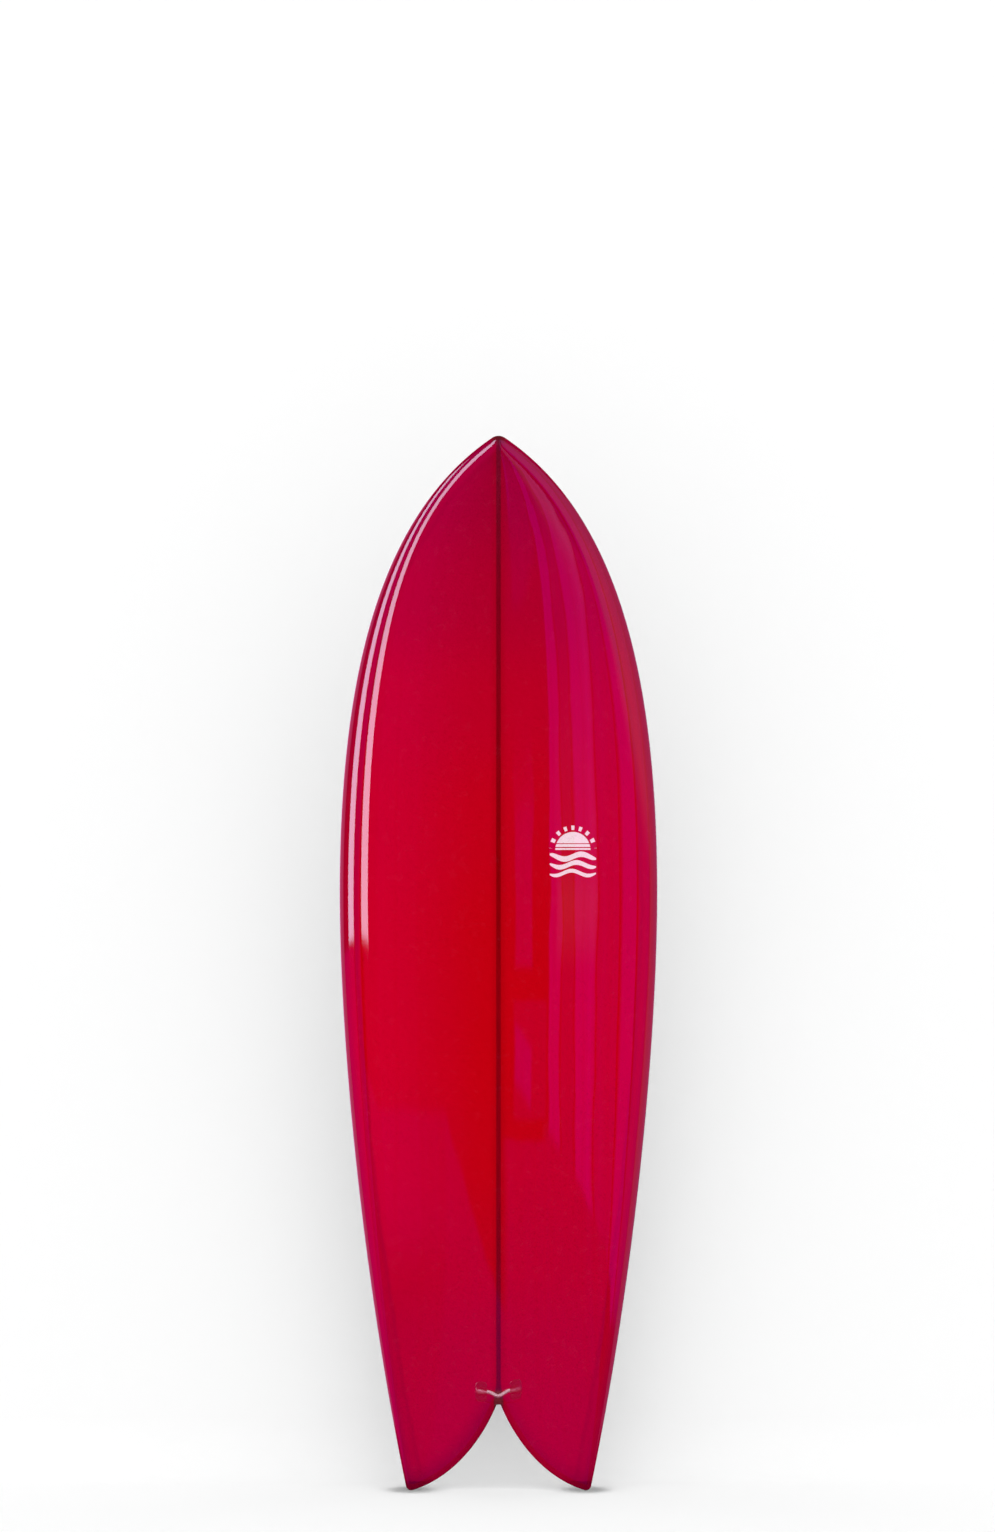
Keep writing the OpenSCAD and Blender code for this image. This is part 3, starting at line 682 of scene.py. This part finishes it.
def decalMaterial():
    material, tree, shader, place3d = newMaterial("decal print", Coat_Roughness=0.02, **resinFinish)
    split = splitNode(tree, place3d)
    u = mathNode(tree, "DIVIDE", mathNode(tree, "SUBTRACT", split["X"], decal["across"]),
                 decal["halfWidth"])
    v = mathNode(tree, "DIVIDE", mathNode(tree, "SUBTRACT", split["Z"], decal["height"]),
                 decal["halfHeight"])
    # sun: a disc cut level, with two narrowing gaps
    sunV = mathNode(tree, "SUBTRACT", v, 0.10)
    sunU = times(tree, u, 0.88)
    radius = mathNode(tree, "SQRT", mathNode(tree, "ADD", mathNode(tree, "POWER", sunU, 2.0),
                                             mathNode(tree, "POWER", sunV, 2.0)))
    sun = times(tree, rangeNode(tree, radius, 0.645, 0.63), rangeNode(tree, sunV, 0.0, 0.015))
    for low, high in ((0.075, 0.115), (0.215, 0.245)):
        gap = times(tree, rangeNode(tree, sunV, low - 0.008, low),
                    rangeNode(tree, sunV, high, high - 0.008))
        sun = times(tree, sun, mathNode(tree, "SUBTRACT", 1.0, gap))
    rayTurn = mathNode(tree, "ARCTAN2", u, sunV)
    rays = mathNode(tree, "COSINE", times(tree, rayTurn, 16.0))
    ring = times(tree, rangeNode(tree, radius, 0.70, 0.715),
                 rangeNode(tree, radius, 0.87, 0.855))
    ray = times(tree, times(tree, ring, rangeNode(tree, rays, 0.25, 0.4)),
                rangeNode(tree, sunV, 0.06, 0.075))
    mask = mathNode(tree, "MAXIMUM", sun, ray)
    for level, phase, width in ((-0.13, 0.0, 0.088), (-0.42, 0.9, 0.075), (-0.71, 1.8, 0.06)):
        swell = times(tree, mathNode(tree, "SINE", mathNode(
            tree, "ADD", times(tree, u, 4.6), phase)), 0.085)
        away = mathNode(tree, "ABSOLUTE", mathNode(tree, "SUBTRACT", mathNode(
            tree, "SUBTRACT", v, level), swell))
        taper = times(tree, mathNode(tree, "SUBTRACT", 1.02, mathNode(tree, "POWER", mathNode(
            tree, "ABSOLUTE", u), 6.0)), width)
        inside = rangeNode(tree, mathNode(tree, "SUBTRACT", away, taper), 0.012, 0.0)
        mask = mathNode(tree, "MAXIMUM", mask, times(tree, inside, rangeNode(
            tree, mathNode(tree, "ABSOLUTE", u), 0.96, 0.945)))
    fibre = noiseNode(tree, place3d, Scale=500.0, Detail=3.0)
    wear = rangeNode(tree, fibre.outputs[0], 0.28, 0.42, 0.8, 1.0)
    wire(tree, times(tree, mask, wear), shader.inputs["Alpha"])
    wire(tree, mixColour(tree, fibre.outputs[0], linear(236, 196, 208), linear(247, 226, 232)),
         shader.inputs["Base Color"])
    return material


decalSteps = np.linspace(-1, 1, decal["steps"] + 1)
decalRows = [[deckPoint(decal["across"] + decal["halfWidth"] * i, decal["height"] + decal["halfHeight"] * k,
                        decal["rise"]) for i in decalSteps] for k in decalSteps]
place(sweep("decalFilm", decalRows, decalMaterial(), toward=Vector((0, -1, 0))), "decal_tissue", "deck_decal")

# glassed-on leash loop of twisted glass rope, with frayed feet under red patches
loop = {"height": 167 * mm, "radius": 3 * mm, "footStart": 18 * mm, "footEnd": 33 * mm, "patchEnd": 40 * mm,
        "rise": 12 * mm, "lean": math.radians(20), "strands": 3, "twist": 300.0, "seat": 0.2 * mm,
        # the last colour is the rope's painted shade and painted reflection of the red deck, laid on its
        # lower half
        "around": 30, "resin": (150, 40, 66)}


def loopLift(x):
    if abs(x) >= loop["footStart"]:
        return 0.0
    return loop["rise"] * (1 + math.cos(math.pi * x / loop["footStart"])) / 2


def loopBow(x):
    return 0.16 * x if x > 0 else -0.04 * x


def loopTall(x):
    return float(np.interp(abs(x), [0, loop["footStart"], loop["footEnd"], loop["patchEnd"]],
                           [1, 1, 0.3, 0])) * loop["radius"]


def loopWide(x):
    return float(np.interp(abs(x), [0, loop["footStart"], loop["footEnd"]], [1, 1, 1.3])) * loop["radius"]


def loopCentre(x):
    lift = loopLift(x)
    return Vector((x, loop["height"] + loopBow(x) - lift * math.tan(loop["lean"]), loopTall(x) + lift))


def ropeRow(x):
    # points of one rope section, with rounded lobes for the strands
    c, t = loopCentre(x), (loopCentre(x + 0.3 * mm) - loopCentre(x - 0.3 * mm)).normalized()
    along = (Vector((0, 1, 0)) - t * t.y).normalized()
    out = t.cross(along).normalized() * -1
    row = []
    for k in range(loop["around"]):
        a = 2 * math.pi * k / loop["around"]
        lobe = 0.80 + 0.20 * abs(math.cos((a * loop["strands"] + loop["twist"] * x * 1.6) / 2)) ** 0.7
        p = c + along * (math.sin(a) * loopWide(x) * lobe) + out * (math.cos(a) * loopTall(x) * lobe)
        row.append(deckPoint(p.x, p.y, max(p.z, 0) + loop["seat"]))
    return row


def fibreMaterial(name, light, dark, gloss):
    material, tree, shader, place3d = newMaterial(name, Roughness=0.55, Specular_IOR_Level=0.3,
                                                  Coat_Weight=gloss, Coat_Roughness=0.15)
    squeeze = stretched(tree, place3d, (0.35, 1.0, 1.0))
    fibres = noiseNode(tree, squeeze, Scale=1500.0, Detail=3.0, Distortion=1.5)
    fibreColour = mixColour(tree, rangeNode(tree, fibres.outputs[0], 0.36, 0.66), light, dark)
    # painted shade and painted reflection: the lower half of the rope, turned away from the light above, is
    # painted pink for shade and for the red deck reflected in it
    shadedUnderside = attribute(tree, "shadedUnderside")
    wire(tree, blendIn(tree, fibreColour, shadedUnderside, 0.8, loop["resin"]), shader.inputs["Base Color"])
    setBump(tree, shader, fibres.outputs[0], 0.5, 0.0003)
    return material


ropeFibre = fibreMaterial("rope fibre", linear(226, 190, 200), linear(176, 96, 116), 0.5)
ropeStations = np.linspace(-loop["footEnd"], loop["footEnd"], 150)
# painted shade: how strongly each point round the rope takes the lower half's shade colour
shadedUndersideRing = [min(max(0.5 - 1.4 * math.sin(2 * math.pi * k / loop["around"]), 0.0), 1.0)
           for k in range(loop["around"])]
place(sweep("loopRope", [ropeRow(x) for x in ropeStations], ropeFibre, closed=True, capped=True,
            values={"shadedUnderside": [shadedUndersideRing] * len(ropeStations)}), "loop_rope", "leash_loop")
print("decal and rope ready")


# patches: glass laid over the feet, with the rope showing pale through the red
patch = {"inset": 1.5 * mm, "halfWidth": 17 * mm, "edge": 0.1 * mm, "glass": 0.62 * mm}


def patchRows(side, count=26, across=24):
    rows, shows = [], []
    start = loop["footStart"] + patch["inset"]
    for r in range(count + 1):
        t = r / count
        x = start + (loop["patchEnd"] - start) * t
        reach = patch["halfWidth"] * math.sqrt(max(1 - (0.42 if t < 0.5 else 0.99) * (2 * t - 1) ** 4, 0.0))
        row, show = [], []
        for k in np.linspace(-1, 1, across + 1):
            off = k * reach
            wide = 1.9 * loopWide(x)
            bulge = max(0.0, 1 - (off / wide) ** 2)
            edge = min(1.0, (1 - abs(k)) * 5, (1 - t) * 8 + 0.05, 1.0)
            film = patch["edge"] + patch["glass"] * math.sqrt(max(edge, 0))
            row.append(deckPoint(side * x, loop["height"] + loopBow(side * x) + off,
                                 2.1 * loopTall(x) * bulge ** 1.2 + film))
            overRope = max(0.0, 1 - (abs(off) / (0.95 * loopWide(x))) ** 2)
            show.append(overRope * max(0.0, 1 - (max(t - 0.35, 0) / 0.6) ** 2))
        rows.append(row)
        shows.append(show)
    return rows, shows


def patchMaterial():
    material, tree, shader, place3d = newMaterial("red patch", Roughness=0.5, Specular_IOR_Level=0.0,
                                                  Coat_Weight=0.5, Coat_Roughness=0.16)
    show = attribute(tree, "show")
    grain = noiseNode(tree, stretched(tree, place3d, (0.18, 1.0, 1.0)), Scale=420.0, Detail=4.0,
                      Distortion=2.0)
    uneven = rangeNode(tree, grain.outputs[0], 0.35, 0.6, 0.35, 1.0)
    fray = mathNode(tree, "MULTIPLY", show, uneven, clamp=True)
    wire(tree, blendIn(tree, linear(158, 0, 45), fray, 0.6, (190, 96, 120)), shader.inputs["Base Color"])
    weave = useGroup(tree, clothWeave, Vector=place3d, Threads=2600.0)
    setBump(tree, shader, weave.outputs[0], 0.25, 0.0001)
    return material


redPatch = patchMaterial()
for side, word in ((1, "right"), (-1, "left")):
    rows, shows = patchRows(side)
    cover = sweep("loopPatch" + word.title(), rows, redPatch, values={"show": shows},
                  toward=Vector((0, -1, 0)))
    place(cover, "loop_patch", "loop_patch_" + word)

# glassed-on twin keels
keel = {"base": 232 * mm, "depth": board["keelDepth"], "thickness": 9.5 * mm, "edge": 1.6 * mm,
        "spread": 298 * mm, "height": 138 * mm, "cant": math.radians(3), "toe": math.radians(1.5),
        "glass": 0.8 * mm, "leadingFoil": 70 * mm, "trailingFoil": 85 * mm, "fillet": 9 * mm,
        "seat": 0.15 * mm, "edgeRound": 1.9 * mm, "plyLayer": 1.35 * mm, "halo": (7.2 * mm, 6.7 * mm),
        "wash": (16 * mm, 9 * mm)}


def keelCurve(shares, places):
    # a curve through points given as shares of the base and of the depth
    return cubic([[a * keel["base"], d * keel["depth"]] for a, d in shares], places)


leading = keelCurve([(1, 0), (0.8, 0.42), (0.44, 1), (0.15, 1)], np.linspace(0, 1, 46))
tip = keelCurve([(0.15, 1), (0.01, 1), (-0.035, 0.86), (-0.02, 0.68)], steps(18))
trailing = keelCurve([(-0.02, 0.68), (-0.005, 0.5), (0.05, 0.25), (0, 0)], steps(20))
keelLine = np.concatenate([leading, tip, trailing])
backLine = np.concatenate([tip, trailing])


def swellUp(share):
    return 1 - (1 - np.minimum(1, share)) ** 2


def keelGrid():
    # rings run from the outline in to a line along the root
    along = np.arange(len(keelLine)) / (len(keelLine) - 1)
    spine = np.stack([keel["base"] * (0.66 + (0.34 - 0.66) * along), np.zeros(len(keelLine))], -1)
    way = spine - keelLine
    way /= np.linalg.norm(way, axis=1)[:, None]
    run = np.gradient(keelLine, axis=0)
    run /= np.linalg.norm(run, axis=1)[:, None]
    sine = np.maximum(np.abs(way[:, 0] * run[:, 1] - way[:, 1] * run[:, 0]), 0.45)
    rings = [keelLine + way * (inset * mm / sine)[:, None]
             for inset in (0, 0.12, 0.45, 1.0, 1.9, 3.2, 5.0, 7.0)]
    for s in (0.06, 0.14, 0.24, 0.36, 0.5, 0.66, 0.82, 1):
        rings.append(rings[7] + (spine - rings[7]) * s)
    return np.array(rings)


def foilAt(points):
    return keel["edge"] + ((keel["thickness"] - keel["edge"])
                           * swellUp(lineGap(points, leading) / keel["leadingFoil"])
                           * swellUp(lineGap(points, backLine) / keel["trailingFoil"]))


keelRings = keelGrid()
keelFoil = foilAt(keelRings)
keelGap = np.minimum(lineGap(keelRings, leading), lineGap(keelRings, backLine))
keelRound = np.sqrt(np.clip(1 - (1 - np.clip(keelGap / keel["edgeRound"], 0, 1)) ** 2, 0, 1))
innerFace = keelFoil / 2 - (keelFoil / 2 + keel["glass"]) * keelRound
outerFace = keelFoil / 2 + (keelFoil / 2 + keel["glass"]) * keelRound


def keelPlace(side, along, depth, off):
    x = side * (keel["spread"] / 2 - math.tan(keel["toe"]) * along + math.tan(keel["cant"]) * depth + off)
    return bottomPoint(x, keel["height"] + along, depth + keel["seat"])


def keelMaterial():
    material, tree, shader, place3d = newMaterial("glassed plywood", Coat_Roughness=0.03, **resinFinish)
    ply = attribute(tree, "ply")
    gap = attribute(tree, "rimGap")
    wander = noiseNode(tree, place3d, Scale=60.0, Detail=4.0)
    drift = times(tree, mathNode(tree, "SUBTRACT", wander.outputs[0], 0.5), 0.0008)
    level = mathNode(tree, "DIVIDE", mathNode(tree, "ADD", ply, drift), keel["plyLayer"])
    band = mathNode(tree, "PINGPONG", level, 1.0)
    grain = useGroup(tree, woodGrain, Vector=place3d, Rings=160.0, Light=linear(206, 152, 96),
                     Dark=linear(168, 108, 60))
    crossGrain = useGroup(tree, woodGrain, Vector=place3d, Rings=420.0, Light=linear(170, 106, 62),
                          Dark=linear(128, 74, 40))
    wood = mixColour(tree, rangeNode(tree, band, 0.44, 0.56), grain.outputs["Colour"],
                     crossGrain.outputs["Colour"])
    glue = times(tree, rangeNode(tree, band, 0.40, 0.5), rangeNode(tree, band, 0.60, 0.5))
    wood = blendIn(tree, wood, glue, 0.5, (92, 48, 26))
    rim = rangeNode(tree, mathNode(tree, "ADD", gap, drift), *keel["halo"])
    strands = noiseNode(tree, place3d, Scale=700.0, Detail=2.0, Distortion=1.0)
    halo = mixColour(tree, rangeNode(tree, strands.outputs[0], 0.35, 0.65),
                     linear(216, 150, 150), linear(198, 112, 118))
    body = mixColour(tree, rim, wood, halo)
    # red resin runs a little way up from the fillets
    root = attribute(tree, "rootGap")
    wash = rangeNode(tree, mathNode(tree, "ADD", root, times(tree, drift, 6.0)), *keel["wash"])
    body = blendIn(tree, body, wash, 0.85, (176, 6, 34))
    wire(tree, body, shader.inputs["Base Color"])
    ripple = useGroup(tree, sandedRipple, Vector=place3d, Scale=16.0)
    bump = setBump(tree, shader, ripple.outputs[0], 0.25, 0.001)
    wire(tree, bump.outputs["Normal"], shader.inputs["Coat Normal"])
    return material


glassedPly = keelMaterial()


def filletRows(side, way, count=60):
    rows = []
    for i in range(count + 1):
        a = 1.5 * mm + (keel["base"] - 4.5 * mm) * i / count
        size = min(max(0.75 * min(a, keel["base"] - a), 1.2 * mm), keel["fillet"])
        low = high = -keel["glass"]
        if way > 0:
            low, high = (foilAt(np.array([[a, 0.0], [a, size]])) + keel["glass"]).tolist()
        row = [keelPlace(side, a, 0, low)]
        for t in np.radians(np.linspace(0, 90, 11)):
            row.append(keelPlace(side, a, size * (1 - math.cos(t)),
                                 low + way * size + (high - low - way * size) * math.sin(t)))
        rows.append(row)
    return rows


for side, word in ((1, "right"), (-1, "left")):
    rows = [[keelPlace(side, *keelRings[r, i], innerFace[r, i]) for i in range(len(keelLine))]
            for r in range(len(keelRings) - 1, -1, -1)]
    rows += [[keelPlace(side, *keelRings[r, i], outerFace[r, i]) for i in range(len(keelLine))]
             for r in range(1, len(keelRings))]
    order = list(range(len(keelRings) - 1, -1, -1)) + list(range(1, len(keelRings)))
    values = {"ply": [[0.3 * mm if n < len(keelRings) - 1 else keelFoil[r, i] for i in range(len(keelLine))]
                      for n, r in enumerate(order)],
              "rimGap": [list(keelGap[r]) for r in order],
              "rootGap": [list(keelRings[r, :, 1]) for r in order]}
    place(sweep("keel" + word.title(), rows, glassedPly, capped=True, values=values), "keel_glass",
          "keel_inner_skin_" + word, "keel_outer_skin_" + word)
    for way, face in ((-1, "inner"), (1, "outer")):
        bead = sweep(face + "Fillet" + word.title(), filletRows(side, way), bottomGloss, closed=True,
                     capped=True)
        place(bead, "keel_fillet", "keel_" + face + "_fillet_" + word)
print("keels ready")


# frame nodes that stay: foam, stringer, keel core and halo, all under the glass
def plainMaterial(name, light, dark, scale, stretch, roughness):
    material, tree, shader, place3d = newMaterial(name, Roughness=roughness)
    squeeze = stretched(tree, place3d, (1.0, 1.0, stretch))
    cells = noiseNode(tree, squeeze, Scale=scale, Detail=3.0)
    wire(tree, mixColour(tree, rangeNode(tree, cells.outputs[0], 0.35, 0.65), linear(*light), linear(*dark)),
         shader.inputs["Base Color"])
    setBump(tree, shader, cells.outputs[0], 0.3, 0.0004)
    return material


blankFoam = plainMaterial("blank foam", (244, 238, 222), (232, 222, 200), 900.0, 1.0, 0.9)
barePly = plainMaterial("bare plywood", (206, 152, 96), (160, 100, 56), 160.0, 0.06, 0.7)
clearHalo = plainMaterial("clear halo", (214, 150, 150), (196, 112, 118), 700.0, 1.0, 0.3)
stringerWood = plainMaterial("stringer wood", (214, 176, 128), (176, 130, 82), 300.0, 0.05, 0.7)
for label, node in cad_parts.items():
    node.data.materials.clear()
    node.data.materials.append(barePly if "core" in label else clearHalo if "halo" in label else
                               stringerWood if label == "stringer" else blankFoam)

# studio: white sweep behind, even light from everywhere, coloured cards that only the gloss sees
studio = {"cameraBack": 8.0, "cameraHeight": 1.2250, "across": -1.7 * mm, "lens": 110.71,
          "wallBehind": 0.14, "wallBend": 0.11, "wallLean": 0.13, "cardRadius": 9.0,
          "padRadius": 40 * mm, "padHeight": 16 * mm}
camera = bpy.data.objects.new("camera", bpy.data.cameras.new("camera"))
scene.collection.objects.link(camera)
camera.location = (studio["across"], -studio["cameraBack"], studio["cameraHeight"])
camera.rotation_euler = (math.radians(90), 0, 0)
camera.data.lens = studio["lens"]
camera.data.sensor_width = 36
camera.data.clip_end = 60
scene.camera = camera

world = bpy.data.worlds.new("studio")
scene.world = world
world.use_nodes = True
tree = world.node_tree
tree.nodes.clear()
path = tree.nodes.new("ShaderNodeLightPath")
out = tree.nodes.new("ShaderNodeOutputWorld")
soft = addNode(tree, "ShaderNodeBackground", Color=(1, 1, 1, 1), Strength=1.10)
dim = addNode(tree, "ShaderNodeBackground", Color=(0.0, 0.0, 0.0, 1), Strength=1.0)
blend = tree.nodes.new("ShaderNodeMixShader")
wire(tree, path.outputs["Is Glossy Ray"], blend.inputs[0])
wire(tree, soft.outputs[0], blend.inputs[1])
wire(tree, dim.outputs[0], blend.inputs[2])
wire(tree, blend.outputs[0], out.inputs[0])

lightBand, groupIn, groupOut = newGroup(
    "light band", [("Angle", "NodeSocketFloat", None), ("Height", "NodeSocketFloat", None),
                   ("Start", "NodeSocketFloat", 0.0), ("End", "NodeSocketFloat", 10.0),
                   ("Soft", "NodeSocketFloat", 0.3),
                   ("Sill", "NodeSocketFloat", -99.0), ("Slope", "NodeSocketFloat", 0.0),
                   ("Lintel", "NodeSocketFloat", 99.0), ("Edge Soft", "NodeSocketFloat", 0.05),
                   ("Colour", "NodeSocketColor", None)],
    [("Light", "NodeSocketColor")])
t = lightBand
g = groupIn.outputs
rising = mathNode(t, "DIVIDE", mathNode(t, "SUBTRACT", g["Angle"], g["Start"]), g["Soft"])
falling = mathNode(t, "DIVIDE", mathNode(t, "SUBTRACT", g["End"], g["Angle"]), g["Soft"])
level = mathNode(t, "SUBTRACT", g["Height"], times(t, g["Angle"], g["Slope"]))
above = mathNode(t, "DIVIDE", mathNode(t, "SUBTRACT", level, g["Sill"]), g["Edge Soft"])
below = mathNode(t, "DIVIDE", mathNode(t, "SUBTRACT", g["Lintel"], level), g["Edge Soft"])
inside = times(t, rangeNode(t, rising, 0.0, 1.0), rangeNode(t, falling, 0.0, 1.0))
inside = times(t, inside, rangeNode(t, above, 0.0, 1.0))
inside = times(t, inside, rangeNode(t, below, 0.0, 1.0))
wire(t, mixColour(t, inside, (0.0, 0.0, 0.0), g["Colour"]), groupOut.inputs["Light"])

# start, end and softness are degrees, left is negative; sill and lintel are the lower and upper edges, metres
bands = [
    # left: two tall strips, with dim light round them
    {"Start": -64.0, "End": -48.0, "Soft": 1.5, "Sill": 0.10, "Edge Soft": 0.05, "Colour": (8.6, 9.0, 12.5)},
    {"Start": -34.0, "End": -21.5, "Soft": 1.0, "Sill": 0.115, "Edge Soft": 0.03, "Colour": (8.0, 8.3, 11.0)},
    {"Start": -48.0, "End": -36.0, "Soft": 1.0, "Colour": (0.7, 0.0, 0.7)},
    {"Start": -88.0, "End": -48.0, "Soft": 2.0, "Lintel": 0.13, "Colour": (2.4, 0.0, 0.8)},
    {"Start": -180.0, "End": -86.0, "Soft": 4.0, "Colour": (1.4, 0.5, 1.1)},
    {"Start": -34.0, "End": -6.0, "Soft": 6.0, "Sill": -0.8, "Edge Soft": 0.3, "Colour": (1.4, 0.0, 0.35)},
    {"Start": -14.0, "End": -1.0, "Soft": 8.0, "Sill": -0.75, "Edge Soft": 0.2, "Colour": (0.8, 0.0, 0.28)},
    {"Start": -40.0, "End": -4.8, "Soft": 0.8, "Lintel": -0.28, "Colour": (0.0, 0.0, 0.3)},
    {"Start": -5.6, "End": 0.9, "Soft": 0.8, "Lintel": -0.763, "Slope": -0.093, "Colour": (0.0, 0.0, 0.42)},
    # right: folds of magenta that end on a slope
    {"Start": 1.4, "End": 3.3, "Soft": 0.25, "Sill": -0.18, "Slope": -0.045, "Lintel": 0.03,
     "Colour": (0.3, 0.0, 0.8)},
    {"Start": 1.4, "End": 3.3, "Soft": 0.25, "Sill": 0.1, "Edge Soft": 0.02, "Colour": (0.3, 0.0, 0.6)},
    {"Start": 1.3, "End": 4.7, "Soft": 0.3, "Sill": -0.335, "Lintel": 0.03, "Edge Soft": 0.02,
     "Colour": (0.05, 0.0, 0.3)},
    {"Start": 4.7, "End": 5.85, "Soft": 0.15, "Sill": -0.145, "Slope": -0.05, "Colour": (1.2, 0.0, 1.25)},
    {"Start": 5.85, "End": 6.95, "Soft": 0.12, "Sill": -0.145, "Slope": -0.05, "Colour": (0.15, 0.0, 0.45)},
    {"Start": 6.95, "End": 9.05, "Soft": 0.15, "Sill": -0.145, "Slope": -0.05, "Colour": (1.4, 0.0, 1.35)},
    {"Start": 9.05, "End": 12.0, "Soft": 0.15, "Sill": -0.145, "Slope": -0.05, "Lintel": 0.95,
     "Colour": (0.4, 0.0, 0.7)},
    {"Start": 0.1, "End": 4.9, "Soft": 0.8, "Lintel": -0.375, "Edge Soft": 0.02, "Colour": (0.0, 0.0, 0.42)},
    {"Start": 4.1, "End": 12.8, "Soft": 0.8, "Lintel": -0.095, "Slope": -0.05, "Colour": (0.0, 0.0, 0.42)},
    {"Start": 12.0, "End": 36.0, "Soft": 1.5, "Sill": -0.51, "Slope": -0.02, "Edge Soft": 0.06,
     "Colour": (1.0, 0.0, 1.35)},
    {"Start": 36.0, "End": 68.0, "Soft": 5.0, "Sill": -0.69, "Slope": -0.015, "Edge Soft": 0.15,
     "Colour": (0.4, 0.02, 0.9)},
    {"Start": 64.0, "End": 150.0, "Soft": 8.0, "Colour": (0.3, 0.3, 0.7)},
    {"Start": 5.2, "End": 9.1, "Soft": 0.3, "Sill": 0.09, "Edge Soft": 0.15, "Colour": (0.0, 0.35, 0.0)},
    {"Start": 14.0, "End": 70.0, "Soft": 4.0, "Sill": 0.35, "Edge Soft": 0.5, "Colour": (0.1, 0.35, 0.1)},
    # behind: soft white, seen in the bottom and the keels
    {"Start": 148.0, "End": 158.0, "Soft": 1.5, "Sill": -0.6, "Edge Soft": 1.0, "Colour": (2.6, 2.6, 2.8)},
    {"Start": 163.0, "End": 167.0, "Soft": 1.0, "Sill": -0.6, "Edge Soft": 1.0, "Colour": (2.6, 2.6, 2.8)},
    {"Start": -165.0, "End": -155.0, "Soft": 1.5, "Sill": -0.6, "Edge Soft": 1.0, "Colour": (2.2, 2.2, 2.4)},
]


def cardMaterial():
    material, tree, shader, place3d = newMaterial("light card", Specular_IOR_Level=0.0, Roughness=1.0,
                                                  Emission_Strength=1.0, Base_Color=(0, 0, 0, 1))
    split = splitNode(tree, place3d)
    turn = mathNode(tree, "ARCTAN2", split["X"], times(tree, split["Y"], -1.0))
    angle = times(tree, turn, 180 / math.pi)
    total = None
    for band in bands:
        node = useGroup(tree, lightBand, Angle=angle, Height=split["Z"], **band)
        total = node.outputs[0] if total is None else mixColour(tree, 1.0, total, node.outputs[0], "ADD")
    # uneven folds, as cloth hung round the studio would show
    folds = addNode(tree, "ShaderNodeTexNoise", noise_dimensions="1D", Scale=1.0, Detail=2.0, Roughness=0.6)
    wire(tree, times(tree, angle, 1.6), folds.inputs["W"])
    uneven = rangeNode(tree, folds.outputs[0], 0.3, 0.7, 0.84, 1.12, False)
    shade = tree.nodes.new("ShaderNodeCombineColor")
    for socket in shade.inputs:
        wire(tree, uneven, socket)
    wire(tree, mixColour(tree, 1.0, total, shade.outputs[0], "MULTIPLY"), shader.inputs["Emission Color"])
    return material


cardRows = [[Vector((studio["cardRadius"] * math.sin(a), -studio["cardRadius"] * math.cos(a), z))
             for a in np.radians(np.linspace(-180, 180, 181))] for z in (-2.4, 7.0)]
cards = sweep("lightCards", cardRows, cardMaterial())
cards.visible_camera = cards.visible_diffuse = cards.visible_shadow = cards.visible_transmission = False

behind, bend = studio["wallBehind"], studio["wallBend"]
sweepLine = [(-14.0, 0.0), (-4.0, 0.0), (0.0, 0.0)]
sweepLine += [(behind - bend * (1 - math.sin(a)), bend * (1 - math.cos(a)))
              for a in np.radians(np.linspace(0, 90, 17))]
sweepLine += [(behind + studio["wallLean"] * z, bend + z) for z in (0.05, 0.3, 1.0, 2.0, 4.5)]
backRows = [[Vector((x, y, z)) for x in (-9.0, -3.0, -1.0, 0.0, 1.0, 3.0, 9.0)] for y, z in sweepLine]
backMaterial, tree, shader, place3d = newMaterial("white sweep", Roughness=1.0, Specular_IOR_Level=0.0,
                                                  Base_Color=(0.955, 0.955, 0.955, 1))
geometry = tree.nodes.new("ShaderNodeNewGeometry")
wire(tree, mathNode(tree, "SUBTRACT", 1.0, geometry.outputs["Backfacing"]), shader.inputs["Alpha"])
backdrop = sweep("backdrop", backRows, backMaterial, toward=Vector((0, -0.3, 1)))
backdrop.visible_glossy = False

# red light bounced off the board would tint the sweep, so a grey stand-in inside the board shades it instead
shade, tree, shader, place3d = newMaterial("shade grey", Roughness=1.0, Specular_IOR_Level=0.0,
                                           Base_Color=(0.62, 0.62, 0.62, 1))
bm, rail, fork, side = boardGrid()
for v in bm.verts:
    half = boardMiddle - float(rocker(v.co.z)) - 0.4 * float(thickness(v.co.z))
    v.co.y = half + (v.co.y - half) * 0.4
bmesh.ops.scale(bm, verts=bm.verts, vec=(0.99, 1, 0.994), space=Matrix.Translation((0, 0, -0.9)))
standIn = keepMesh("standIn", bm, shade)
# flat pads under the tips deepen the contact shadow
bm = bmesh.new()
for end in (1, -1):
    underTip = (end * board["tipSpread"] / 2, boardMiddle - board["tailRocker"], studio["padHeight"])
    bmesh.ops.create_circle(bm, cap_ends=True, segments=48, radius=studio["padRadius"],
                            matrix=Matrix.Translation(underTip))
tipPads = keepMesh("tipPads", bm, shade)
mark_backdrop(cards, backdrop, standIn, tipPads)
for shadeOnly in (standIn, tipPads):
    shadeOnly.visible_camera = shadeOnly.visible_glossy = shadeOnly.visible_transmission = False
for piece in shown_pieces():
    piece.visible_diffuse = False
print("studio ready")
